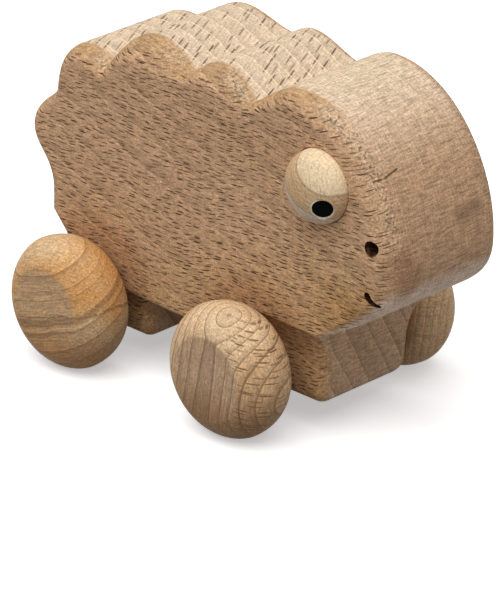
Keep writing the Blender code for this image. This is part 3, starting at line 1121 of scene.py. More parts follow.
def round_slab(outline: Sequence[Triple], half_depth: float, steps: int,
               upper: Optional[Sequence[Pair]] = None) -> bmesh.types.BMesh:
    """Makes a slab along local Z with rounded rims.

    Args:
        outline: Corners as two places and the rounding of the rim there.
        half_depth: Half the slab's thickness.
        steps: The number of facets in a rim's rounding.
        upper: The drop and the reach of the rim on the +Z side, where they differ.

    Returns:
        The slab.
    """
    sizes = [(rounding, rounding) for _, _, rounding in outline]
    lower = [[Vector((x, y, -z)) for x, y, z in ring] for ring in rim_rings(outline, sizes, half_depth, steps)]
    return loft([*reversed(lower), *rim_rings(outline, upper or sizes, half_depth, steps)])


def turn_profile(profile: Sequence[Pair], steps: int) -> bmesh.types.BMesh:
    """Turns a half section of radius and height about local Z.

    Args:
        profile: The half section, from the axis round to the axis.
        steps: The number of facets in the full turn.

    Returns:
        The turned shape.
    """
    work = bmesh.new()
    verts = [work.verts.new((radius, 0.0, height)) for radius, height in profile]
    edges = [work.edges.new(pair) for pair in zip(verts, verts[1:])]
    bmesh.ops.spin(work, geom=[*verts, *edges], cent=(0, 0, 0), axis=(0, 0, 1), angle=2 * math.pi, steps=steps,
                   use_merge=True)
    bmesh.ops.remove_doubles(work, verts=work.verts, dist=WELD)
    bmesh.ops.recalc_face_normals(work, faces=work.faces)
    return work


def dome_profile(flat: float, radius: float, height: float, power: float, steps: int) -> list[Pair]:
    """Returns the half section of a dome.

    Args:
        flat: The radius of its flat top.
        radius: Its full radius.
        height: Its height.
        power: How square its shoulder is; 2 is round.
        steps: The number of facets.

    Returns:
        Radius and height from the flat's edge down to the widest ring.
    """
    profile = []
    for step in range(steps + 1):
        fall = math.cos(QUARTER * step / steps)
        spread = max(1 - fall ** power, 0.0) ** (1 / power)
        profile.append((flat + (radius - flat) * spread, height * fall))
    return profile


def rod(diameter: float, low: float, high: float, ease: float = 0.0,
        steps: int = ROUND_STEPS) -> bmesh.types.BMesh:
    """Makes a round rod along local Z.

    Args:
        diameter: The rod's diameter.
        low: Where it starts.
        high: Where it ends.
        ease: How far its end corners are taken off.
        steps: The number of facets round it.

    Returns:
        The rod.
    """
    work = bmesh.new()
    bmesh.ops.create_cone(work, cap_ends=True, segments=steps, radius1=diameter / 2, radius2=diameter / 2,
                          depth=high - low, matrix=Matrix.Translation((0, 0, (low + high) / 2)))
    if ease:
        rims = [edge for edge in work.edges if abs(edge.verts[0].co.z - edge.verts[1].co.z) < WELD]
        bmesh.ops.bevel(work, geom=rims, offset=ease, offset_type="OFFSET", affect="EDGES", segments=EASE_STEPS,
                        profile=0.5, material=-1, clamp_overlap=True)
    return work


def side_turn(side: Side) -> Matrix:
    """Returns the turn that points local +Z out of one side of the toy."""
    return Matrix.Rotation(-side.value * QUARTER, 4, "X")


def mesh_of(work: bmesh.types.BMesh, name: str, place: Optional[Matrix] = None) -> bpy.types.Mesh:
    """Writes a bmesh to a mesh and frees it.

    Args:
        work: The bmesh.
        name: The mesh's name.
        place: Where it goes.

    Returns:
        The mesh, in place.
    """
    if place is not None:
        bmesh.ops.transform(work, matrix=place, verts=work.verts)
    mesh = bpy.data.meshes.new(name)
    work.to_mesh(mesh)
    work.free()
    return mesh


def new_object(name: str, data: Optional[bpy.types.ID]) -> bpy.types.Object:
    """Adds an object at the origin to the scene.

    Args:
        name: The object's name.
        data: Its mesh, light or camera.

    Returns:
        The object.
    """
    thing = bpy.data.objects.new(name, data)
    bpy.context.scene.collection.objects.link(thing)
    return thing


def shape(mesh: bpy.types.Mesh, cuts: Sequence[tuple[Cut, bpy.types.Mesh]]) -> bpy.types.Mesh:
    """Joins tools to a workpiece or takes them away from it.

    Args:
        mesh: The workpiece.
        cuts: What is done, and the tool that does it, in order.

    Returns:
        The shaped workpiece.
    """
    blank = new_object(mesh.name + "_blank", mesh)
    tools = []
    for cut, tool in cuts:
        tools.append(new_object(tool.name, tool))
        modifier = blank.modifiers.new(tool.name, "BOOLEAN")
        modifier.operation, modifier.solver, modifier.object = cut.value, "EXACT", tools[-1]
        modifier.material_mode = "TRANSFER"
    shaped = bpy.data.meshes.new_from_object(blank.evaluated_get(bpy.context.evaluated_depsgraph_get()))
    shaped.name = mesh.name + "_shaped"
    for thing in (blank, *tools):
        bpy.data.objects.remove(thing, do_unlink=True)
    return shaped


def finish_piece(name: str, mesh: bpy.types.Mesh, material: bpy.types.Material, body: str, node: str,
                 crease: float = 32.0) -> bpy.types.Object:
    """Makes a piece of the toy and sets it on its body.

    Args:
        name: The piece's name.
        mesh: Its shape, in place.
        material: Its finish, where the shape has none yet.
        body: The body that it moves with.
        node: The solid that it stands for.
        crease: The angle in degrees from which an edge stays crisp.

    Returns:
        The piece.
    """
    piece = new_object(name, mesh)
    if not any(mesh.materials):
        mesh.materials.clear()
        mesh.materials.append(material)
    mesh.shade_smooth()
    mesh.set_sharp_from_angle(angle=math.radians(crease))
    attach(piece, body)
    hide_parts(node)
    LOG.info("%s stands for %s, with %d faces", name, node, len(mesh.polygons))
    return piece


# ---------------------------------------------------------------- sub-assemblies


@dataclass
class Leg:
    """One leg of the block: a post that flares out in a cove to meet the sides above it.

    Attributes:
        end: The end of the toy that it is at.
        axle_x: Where its axle lies along the toy.
        back: How far it reaches behind the axle.
        front: How far it reaches ahead of the axle.
        drop: How far it hangs below the axle.
        cove_top: The height at which its cove meets the side, above the axle.
        cove_rise: The height of the cove.
        lean: How much its front leans in towards the ground.
        thickness: Its thickness between the wheels.
        edge_round: The rounding of its upright edges.
        corner_extra: How much rounder its lower corners are.
        ledge_round: The rounding of its edges at the top of the cove.
        join_depth: How far it is let into the block.
        steps: The number of facets in its cove.
    """

    end: End
    axle_x: float
    back: float
    front: float
    drop: float
    cove_top: float
    cove_rise: float
    lean: float = 0.0
    thickness: float = 32.0 * MM
    edge_round: float = 3.0 * MM
    corner_extra: float = 1.0 * MM
    ledge_round: float = 0.8 * MM
    join_depth: float = 3.0 * MM
    steps: int = 14

    def outline(self, reach: float) -> list[Triple]:
        """Draws the leg's front view.

        Args:
            reach: How far out its cove ends.

        Returns:
            Corners as two places and the rounding of the rim there, with heights from the axle.
        """
        half, corner_steps = self.thickness / 2, self.steps // 2
        spread = reach - half
        radius = (spread ** 2 + self.cove_rise ** 2) / (2 * spread)
        sweep = math.asin(self.cove_rise / radius)
        corner = self.edge_round + self.corner_extra
        flank = []
        for step in range(corner_steps + 1):
            turn = QUARTER * step / corner_steps
            flank.append((half - corner * (1 - math.sin(turn)), corner * (1 - math.cos(turn)) - self.drop,
                          self.edge_round))
        for step in range(self.steps + 1):
            share = step / self.steps
            height = self.cove_top - self.cove_rise + radius * math.sin(sweep * share)
            flank.append((half + radius * (1 - math.cos(sweep * share)), height,
                          self.edge_round + (self.ledge_round - self.edge_round) * share))
        flank.append((flank[-1][0], self.cove_top + self.join_depth, self.ledge_round))
        return flank + [(-across, height, rounding) for across, height, rounding in reversed(flank)]

    def build(self, reach: float, axle_height: float) -> bpy.types.Mesh:
        """Shapes the leg as a tool that is joined to the block.

        Args:
            reach: How far out its cove ends.
            axle_height: The axle's height above the ground.

        Returns:
            The leg's mesh, in place.
        """
        work = round_slab(self.outline(reach), (self.front + self.back) / 2, self.steps // 2)
        along_x = Matrix(((0, 0, 1, 0), (1, 0, 0, 0), (0, 1, 0, 0), (0, 0, 0, 1)))
        middle = self.axle_x + (self.front - self.back) / 2
        bmesh.ops.transform(work, matrix=Matrix.Translation((middle, 0, axle_height)) @ along_x, verts=work.verts)
        ahead = [vert for vert in work.verts if vert.co.x > self.axle_x]
        pivot = Matrix.Translation((self.axle_x, 0, axle_height + self.cove_top))
        leaning = Matrix.Shear("XY", 4, (self.lean, 0.0))
        bmesh.ops.transform(work, matrix=pivot @ leaning @ pivot.inverted(), verts=ahead)
        return mesh_of(work, self.end.value + "_leg")


@dataclass
class SheepBlock:
    """The sawn block: body, head, fleece and legs in one, with its bores and its cut face.

    The outline is drawn in millimetres, with heights from the axles. The sizes of the rims are rows of their
    values at the ends of the outline's spans and at the crests between them, in turn.

    Attributes:
        finish: The wood that it is sawn from.
        cut_finish: The painted shade inside its nostrils and mouth.
        legs: Its front and its rear leg.
        axle_height: The axles' height above the ground.
        thickness: The block's thickness.
        belly_round: The rounding of the belly's rims.
        haunch_round: The rounding of the rims above the rear leg.
        ledge_round: The rounding of the edges where the legs start.
        ledge: How far the block stands out past the tops of the legs.
        bore: The diameter of the axles' bores.
        haunch_foot: The height at which the haunch meets the rear leg, above the axles.
        belly_height: The belly's height above the axles.
        belly_sag: How far the belly sags.
        belly_front_lap: How far the belly laps over the front leg.
        belly_rear_lap: How far the belly laps over the rear leg.
        nostril: Where the nostrils lie along the toy and above the axles, and their diameter.
        nostril_depth: How deep they are drilled.
        nostril_flare: How far their rims are eased.
        nostril_steps: The number of facets round them.
        mouth_width: The mouth's width where it starts and where it ends.
        mouth_depth: How deep it is cut.
        mouth_steps: The number of facets in its rounded ends.
        span_steps: The number of facets in a span of the outline.
        round_steps: The number of facets in a rim's rounding.
        swell_power: How fast a rim grows from a span's ends to its crest.
        mark_gap: How close together the marks are that tell the way round the outline.
        chest_top: Where the outline starts, at the top of the chest.
        head: The spans of the head, as two guides and an end each.
        fleece: The spans of the fleece, as two guides and an end each.
        rounds: The roundings of the rims.
        right_drops: How far the right-hand rims drop.
        right_reaches: How far the right-hand rims reach across the block.
        haunch: Where the haunch ends.
        mouth: The mouth's start, two guides and end.
    """

    finish: BlockBeech
    cut_finish: CutBeech
    legs: tuple[Leg, Leg]
    axle_height: float = AXLE_HEIGHT
    thickness: float = 42.0 * MM
    belly_round: float = 1.6 * MM
    haunch_round: float = 3.5 * MM
    ledge_round: float = 0.8 * MM
    ledge: float = 0.4 * MM
    bore: float = 6.6 * MM
    haunch_foot: float = 13.0 * MM
    belly_height: float = 3.3 * MM
    belly_sag: float = 1.0 * MM
    belly_front_lap: float = 6.0 * MM
    belly_rear_lap: float = 8.2 * MM
    nostril: Triple = (58.3 * MM, 42.3 * MM, 3.8 * MM)
    nostril_depth: float = 9.0 * MM
    nostril_flare: float = 0.35 * MM
    nostril_steps: int = 48
    mouth_width: Pair = (2.0 * MM, 1.1 * MM)
    mouth_depth: float = 4.5 * MM
    mouth_steps: int = 8
    span_steps: int = 20
    round_steps: int = 10
    swell_power: float = 0.7
    mark_gap: float = 0.25 * MM
    chest_top: Pair = (39.8, 12.3)
    head: Sequence[Sequence[Pair]] = (
        ((47.0, 15.5), (55.8, 20.6), (60.5, 24.8)),
        ((63.4, 27.4), (64.8, 31.0), (64.8, 36.0)),
        ((64.8, 53.5), (50.5, 75.8), (29.0, 75.0)),
        ((24.0, 74.8), (18.5, 70.0), (15.0, 67.9)),
    )
    fleece: Sequence[Sequence[Pair]] = (
        ((9.0, 71.0), (0.5, 77.8), (-6.5, 69.9)),
        ((-14.0, 69.9), (-26.5, 82.6), (-37.4, 63.6)),
        ((-44.5, 68.0), (-55.8, 67.4), (-54.5, 52.4)),
        ((-57.0, 48.6), (-64.8, 46.5), (-64.8, 40.0)),
        ((-64.8, 33.0), (-57.6, 32.0), (-57.5, 24.0)),
    )
    rounds: Sequence[float] = (
        0.8, 3.4, 6.0, 6.5, 7.0, 6.2, 4.6, 3.8, 1.8, 4.2, 1.8, 4.4, 1.8, 4.4, 2.4, 4.2, 4.4, 4.2, 4.0)
    right_drops: Sequence[float] = (
        0.8, 3.4, 6.0, 6.5, 7.0, 6.2, 4.6, 4.2, 2.4, 5.5, 2.6, 7.5, 3.0, 5.5, 2.4, 4.2, 4.4, 4.2, 4.0)
    right_reaches: Sequence[float] = (
        0.8, 3.4, 6.0, 6.5, 7.0, 8.0, 6.5, 7.0, 5.0, 8.8, 6.0, 9.8, 7.5, 6.5, 2.4, 4.2, 4.4, 4.2, 4.0)
    haunch: Pair = (-57.3, 17.4)
    mouth: Sequence[Pair] = ((57.15, 29.3), (57.5, 28.5), (58.4, 27.3), (59.6, 26.8))

    def spans(self, start: Pair, spans: Sequence[Sequence[Pair]]) -> list[Vector]:
        """Follows curved spans of the outline.

        Args:
            start: Where the first one starts, in millimetres.
            spans: Two guides and an end each, in millimetres.

        Returns:
            The points on them, in metres.
        """
        points = [Vector(start) * MM]
        for guide_a, guide_b, end in spans:
            knots = [points[-1], *(Vector(corner) * MM for corner in (guide_a, guide_b, end))]
            points += interpolate_bezier(*knots, self.span_steps + 1)[1:]
        return [point.to_2d() for point in points]

    def along_spans(self, levels: Sequence[float]) -> list[float]:
        """Follows a size of the rim along the curved spans.

        Args:
            levels: Its values at the spans' ends and crests in turn, in millimetres.

        Returns:
            Its values at the points on the spans, in metres.
        """
        values, count = [], len(levels) // 2
        for step in range(self.span_steps * count + 1):
            span = min(step // self.span_steps, count - 1)
            share = step / self.span_steps - span
            first, crest, last = levels[2 * span:2 * span + 3]
            swell = (crest - (first + last) / 2) * math.sin(math.pi * share) ** self.swell_power
            values.append((first + (last - first) * share + swell) * MM)
        return values

    def outline(self) -> list[Triple]:
        """Draws the block's side view.

        Returns:
            Corners as two places and the rounding of the rim there, with heights from the axles.
        """
        front, rear = self.legs
        line = self.spans(self.chest_top, [*self.head, *self.fleece])
        corners = [(*point, drop) for point, drop in zip(line, self.along_spans(self.rounds))]
        corners.append((self.haunch[0] * MM, self.haunch[1] * MM, self.haunch_round))
        heel = rear.axle_x - rear.back - self.ledge
        corners += [(heel, self.haunch_foot, self.ledge_round), (heel, rear.cove_top, self.ledge_round)]
        start = rear.axle_x + rear.front - self.belly_rear_lap
        stop = front.axle_x - front.back + self.belly_front_lap
        corners.append((start, rear.cove_top, self.ledge_round))
        for step in range(self.span_steps + 1):
            share = step / self.span_steps
            height = self.belly_height - self.belly_sag * math.sin(math.pi * share)
            corners.append((start + share * (stop - start), height, self.belly_round))
        corners.append((stop, front.cove_top, self.ledge_round))
        return corners

    def at_side(self, x: float, height: float, side: Side) -> Matrix:
        """Returns the frame of a feature on one side, with local +Z pointing out."""
        return Matrix.Translation((x, side.value * self.thickness / 2, self.axle_height + height)) @ side_turn(side)

    def mouth_rim(self) -> list[Vector]:
        """Draws the mouth's outline, a stroke that tapers between two rounded ends.

        Returns:
            Its corners in order, with heights from the axles.
        """
        knots = [Vector(corner) * MM for corner in self.mouth]
        line = [point.to_2d() for point in interpolate_bezier(*knots, self.span_steps)]
        start, end = self.mouth_width
        halves = [(start + (end - start) * step / (len(line) - 1)) / 2 for step in range(len(line))]
        ways = [(after - before).normalized() for before, after in zip([line[0], *line], [*line[1:], line[-1]])]
        lefts = [Vector((-way.y, way.x)) * half for way, half in zip(ways, halves)]
        turns = [Matrix.Rotation(-math.pi * step / self.mouth_steps, 2) for step in range(1, self.mouth_steps)]
        rim = [point + left for point, left in zip(line, lefts)]
        rim += [line[-1] + turn @ lefts[-1] for turn in turns]
        rim += [point - left for point, left in zip(reversed(line), reversed(lefts))]
        return rim + [line[0] - turn @ lefts[0] for turn in turns]

    def mouth_tool(self, side: Side) -> bpy.types.Mesh:
        """Makes the tool that cuts one corner of the mouth.

        Args:
            side: The side that it cuts.

        Returns:
            The tool, in place.
        """
        work = bmesh.new()
        floor_y = side.value * self.thickness / 2 - self.mouth_depth
        verts = start_ring(work, [(point.x, floor_y, self.axle_height + point.y) for point in self.mouth_rim()])
        floor = bmesh.ops.edgeloop_fill(work, edges=ring_edges(work, verts))["faces"]
        drawn = bmesh.ops.extrude_face_region(work, geom=floor)["geom"]
        bmesh.ops.translate(work, vec=(0, 2 * self.mouth_depth, 0),
                            verts=[item for item in drawn if isinstance(item, bmesh.types.BMVert)])
        bmesh.ops.recalc_face_normals(work, faces=work.faces)
        return mesh_of(work, "mouth_" + side.word)

    def nostril_tool(self, side: Side) -> bpy.types.Mesh:
        """Makes the drill for one nostril, with a fine flare that eases the hole's rim.

        Args:
            side: The side that it drills.

        Returns:
            The tool, in place.
        """
        x, height, width = self.nostril
        half, flare, depth = width / 2, self.nostril_flare, self.nostril_depth
        profile = [(0.0, -depth), (half, -depth), (half, -flare), (half + flare * 0.3, -flare * 0.3),
                   (half + flare, flare * 0.4), (half + flare, depth), (0.0, depth)]
        drill = turn_profile(profile, self.nostril_steps)
        return mesh_of(drill, "nostril_" + side.word, self.at_side(x, height, side))

    def build(self, eyes: Sequence["Eye"]) -> bpy.types.Object:
        """Shapes and dresses the block.

        Args:
            eyes: The eyes that are let into it.

        Returns:
            The piece.
        """
        upright = Matrix.Translation((0, 0, self.axle_height)) @ Matrix.Rotation(QUARTER, 4, "X")
        wood, hole_shade = self.finish.make(), self.cut_finish.make()
        outline = self.outline()
        right = list(zip(self.along_spans(self.right_drops), self.along_spans(self.right_reaches)))
        right += [(rounding, rounding) for _, _, rounding in outline[len(right):]]
        blank = mesh_of(round_slab(outline, self.thickness / 2, self.round_steps, right), "block", upright)
        cuts = []
        for leg in self.legs:
            cuts.append((Cut.JOIN, leg.build(self.thickness / 2 - self.ledge, self.axle_height)))
            place = Matrix.Translation((leg.axle_x, 0, self.axle_height)) @ side_turn(Side.LEFT)
            drill = rod(self.bore, -self.thickness, self.thickness)
            cuts.append((Cut.TAKE, mesh_of(drill, leg.end.value + "_bore", place)))
        for eye in eyes:
            cuts.append((Cut.TAKE, eye.seat_tool(self.at_side(eye.x, eye.height, eye.side))))
        for mesh in (blank, *(tool for _, tool in cuts)):
            mesh.materials.append(wood)
        # The nostrils and the mouth carry the painted shade of the deep holes.
        for side in Side:
            for tool in (self.nostril_tool(side), self.mouth_tool(side)):
                tool.materials.append(hole_shade)
                cuts.append((Cut.TAKE, tool))
        shaped = shape(blank, cuts)
        self.mark_run(shaped)
        return finish_piece("sheep_block", shaped, wood, "sheep", "body")

    def mark_run(self, mesh: bpy.types.Mesh) -> None:
        """Marks every corner of the block with its way round the outline, in millimetres, for the wood's figure.

        Args:
            mesh: The shaped block.
        """
        outline = [Vector((x, 0.0, height + self.axle_height)) for x, height, _ in self.outline()]
        marks, way = [], 0.0
        for first, second in zip(outline, [*outline[1:], outline[0]]):
            length = (second - first).length
            pieces = max(math.ceil(length / self.mark_gap), 1)
            marks += [(first.lerp(second, piece / pieces), way + length * piece / pieces) for piece in range(pieces)]
            way += length
        tree = KDTree(len(marks))
        for index, (place, _) in enumerate(marks):
            tree.insert(place, index)
        tree.balance()
        run = mesh.attributes.new(RUN, "FLOAT", "POINT")
        for vert, mark in zip(mesh.vertices, run.data):
            height = vert.co.z - self.axle_height
            on_leg = any(-leg.back < vert.co.x - leg.axle_x < leg.front + WELD and height < leg.cove_top - WELD
                         for leg in self.legs)
            nearest = tree.find((vert.co.x, 0.0, vert.co.z))[1]
            mark.value = (height - self.chest_top[1] * MM if on_leg else marks[nearest][1]) / MM


@dataclass
class Eye:
    """A domed eye let into one side of the head, with a stained plug for its pupil.

    Attributes:
        side: The side that it is on.
        finish: The eye's wood.
        stain: The pupil's stain.
        x: Where its middle lies along the toy.
        height: Its middle's height above the axles.
        diameter: Its diameter.
        dome: How far it stands out of the side.
        power: How square the dome's shoulder is.
        dome_steps: The number of facets from the dome's top to its edge.
        seat_depth: How far it is let into the side.
        fit: The room behind it and round its pupil.
        seat_gap: The gap round it.
        pupil: The pupil's diameter.
        pupil_depth: How deep the pupil's plug goes.
        pupil_ease: How far the plug's corners are taken off.
        spot: The diameter of the flat spot that the pupil is let into.
        spot_middle: The spot's middle from the eye's, on the left side.
        spot_way: The way that the spot faces, on the left side.
        steps: The number of facets round it.
    """

    side: Side
    finish: EyeBeech
    stain: BlackStain
    x: float = 40.8 * MM
    height: float = 54.0 * MM
    diameter: float = 19.2 * MM
    dome: float = 7.0 * MM
    power: float = 2.2
    dome_steps: int = 28
    seat_depth: float = 3.0 * MM
    fit: float = 0.04 * MM
    seat_gap: float = 0.22 * MM
    pupil: float = 5.3 * MM
    pupil_depth: float = 3.0 * MM
    pupil_ease: float = 0.1 * MM
    spot: float = 6.2 * MM
    spot_middle: Triple = (5.55 * MM, 4.7 * MM, -3.17 * MM)
    spot_way: Triple = (0.61, 0.743, -0.276)
    steps: int = 96

    def mirrored(self, place: Triple) -> Vector:
        """Returns a place or a way on the left side as it is on this one."""
        return Vector(place) * Vector((1, self.side.value, 1))

    def profile(self) -> list[Pair]:
        """Returns the eye's half section, from the top of its dome to the bottom of its seat."""
        edge = [(self.diameter / 2, -self.seat_depth), (0.0, -self.seat_depth)]
        return dome_profile(0.0, self.diameter / 2, self.dome, self.power, self.dome_steps) + edge

    def seat_tool(self, place: Matrix) -> bpy.types.Mesh:
        """Makes the cutter for the eye's seat.

        Args:
            place: The eye's frame.

        Returns:
            The cutter, in place.
        """
        depth = self.seat_depth + self.fit
        cutter = rod(self.diameter + 2 * self.seat_gap, -depth, depth, steps=self.steps)
        return mesh_of(cutter, "eye_seat_" + self.side.word, place)

    def build(self, block: SheepBlock) -> list[bpy.types.Object]:
        """Shapes and dresses the eye and its pupil.

        Args:
            block: The block that it is let into.

        Returns:
            The two pieces.
        """
        word = self.side.word
        place = block.at_side(self.x, self.height, self.side)
        centre, middle, way = place.to_translation(), self.mirrored(self.spot_middle), self.mirrored(self.spot_way)
        spot = Matrix.Translation(centre + middle) @ way.to_track_quat("Z", "Y").to_matrix().to_4x4()
        wood = replace(self.finish, centre=tuple(centre / MM), pupil=tuple(middle / MM), pupil_way=tuple(way))
        dome = mesh_of(turn_profile(self.profile(), self.steps), "eye_" + word, place)
        facet = mesh_of(rod(self.spot, 0.0, self.diameter), "spot", spot)
        hole = rod(self.pupil + 2 * self.fit, -self.pupil_depth - self.fit, self.diameter)
        cuts = [(Cut.TAKE, facet), (Cut.TAKE, mesh_of(hole, "drill", spot))]
        plug = mesh_of(rod(self.pupil, -self.pupil_depth, 0.0, self.pupil_ease), "pupil_" + word, spot)
        return [
            finish_piece("domed_eye_" + word, shape(dome, cuts), wood.make(), "sheep", "eye_" + word),
            finish_piece("stained_pupil_" + word, plug, self.stain.make(), "sheep", "pupil_" + word),
        ]


@dataclass
class WheelSet:
    """Two turned wheels on one axle.

    Attributes:
        end: The end of the toy that it is at.
        axle_x: Where the axle lies along the toy.
        woods: The wood of the right and the left wheel.
        dowel: The axle's wood.
        diameter: The wheels' diameter.
        outer_half: How far a wheel stands out from its widest ring.
        inner_half: How far it goes in from there, without its hub.
        outer_flat: The radius of its outer flat.
        inner_flat: The radius of its inner flat.
        outer_power: How square its outer shoulder is.
        inner_power: How square its inner shoulder is.
        outer_steps: The number of facets in its outer shoulder.
        inner_steps: The number of facets in its inner shoulder.
        flat_steps: The number of rings in its outer flat.
        hub_radius: The radius of its hub.
        hub_length: How far the hub stands in.
        hub_ease: How far the hub's corners are taken off.
        inner_y: Where the hub ends, from the toy's middle.
        axle: The axle's diameter.
        axle_grip: How far the axle goes into a wheel.
        axle_ease: How far the axle's corners are taken off.
        fit: The room round the axle in a wheel.
        centre_mark: The radius of the mark that the lathe's centre leaves.
        steps: The number of facets round a wheel.
    """

    end: End
    axle_x: float
    woods: dict[Side, WheelBeech]
    dowel: DowelBeech
    diameter: float = 36.0 * MM
    outer_half: float = 7.9 * MM
    inner_half: float = 8.6 * MM
    outer_flat: float = 11.0 * MM
    inner_flat: float = 12.5 * MM
    outer_power: float = 1.6
    inner_power: float = 2.0
    outer_steps: int = 30
    inner_steps: int = 24
    flat_steps: int = 6
    hub_radius: float = 6.0 * MM
    hub_length: float = 5.7 * MM
    hub_ease: float = 0.5 * MM
    inner_y: float = 17.0 * MM
    axle: float = 6.0 * MM
    axle_grip: float = 14.5 * MM
    axle_ease: float = 0.4 * MM
    fit: float = 0.05 * MM
    centre_mark: float = 0.6 * MM
    steps: int = 128

    def profile(self) -> list[Pair]:
        """Draws a wheel's half section.

        Returns:
            Radius and height from the lathe's centre mark round to the blind axle hole, from the rim plane.
        """
        radius, top, mark, ease = self.diameter / 2, self.outer_half, self.centre_mark, self.hub_ease
        hub_end = -self.inner_half - self.hub_length
        hole, hole_end = self.axle / 2 + self.fit, hub_end + self.axle_grip + self.fit
        outer = dome_profile(self.outer_flat, radius, top, self.outer_power, self.outer_steps)
        inner = dome_profile(self.inner_flat, radius, self.inner_half, self.inner_power, self.inner_steps)
        flat = [(mark + (self.outer_flat - mark) * step / self.flat_steps, top) for step in range(self.flat_steps)]
        profile = [(0.0, top - 0.8 * mark), (0.3 * mark, top - 0.7 * mark), *flat, *outer]
        profile += [(across, -height) for across, height in reversed(inner[:-1])]
        profile += [(self.hub_radius + ease, -self.inner_half), (self.hub_radius, -self.inner_half - ease),
                    (self.hub_radius, hub_end + ease), (self.hub_radius - ease, hub_end)]
        return profile + [(hole, hub_end), (hole, hole_end), (0.0, hole_end)]

    def build(self, axle_height: float) -> list[bpy.types.Object]:
        """Shapes and dresses the axle and both wheels.

        Args:
            axle_height: The axle's height above the ground.

        Returns:
            The three pieces.
        """
        word, body = self.end.value, self.end.value + "_wheels"
        middle = Matrix.Translation((self.axle_x, 0, axle_height))
        reach = self.inner_y + self.axle_grip
        axle = mesh_of(rod(self.axle, -reach, reach, self.axle_ease), word + "_dowel", middle @ side_turn(Side.LEFT))
        dowel = replace(self.dowel, centre=tuple(middle.to_translation() / MM))
        pieces = [finish_piece(word + "_dowel", axle, dowel.make(), body, word + "_axle")]
        rim_y = self.inner_y + self.hub_length + self.inner_half
        for side, wood in self.woods.items():
            place = middle @ Matrix.Translation((0, side.value * rim_y, 0)) @ side_turn(side)
            wood = replace(wood, centre=tuple(place.to_translation() / MM))
            wheel = mesh_of(turn_profile(self.profile(), self.steps), f"{word}_{side.word}_turned", place)
            pieces.append(finish_piece(f"turned_{word}_{side.word}_wheel", wheel, wood.make(), body,
                                       f"{word}_{side.word}_wheel"))
        return pieces


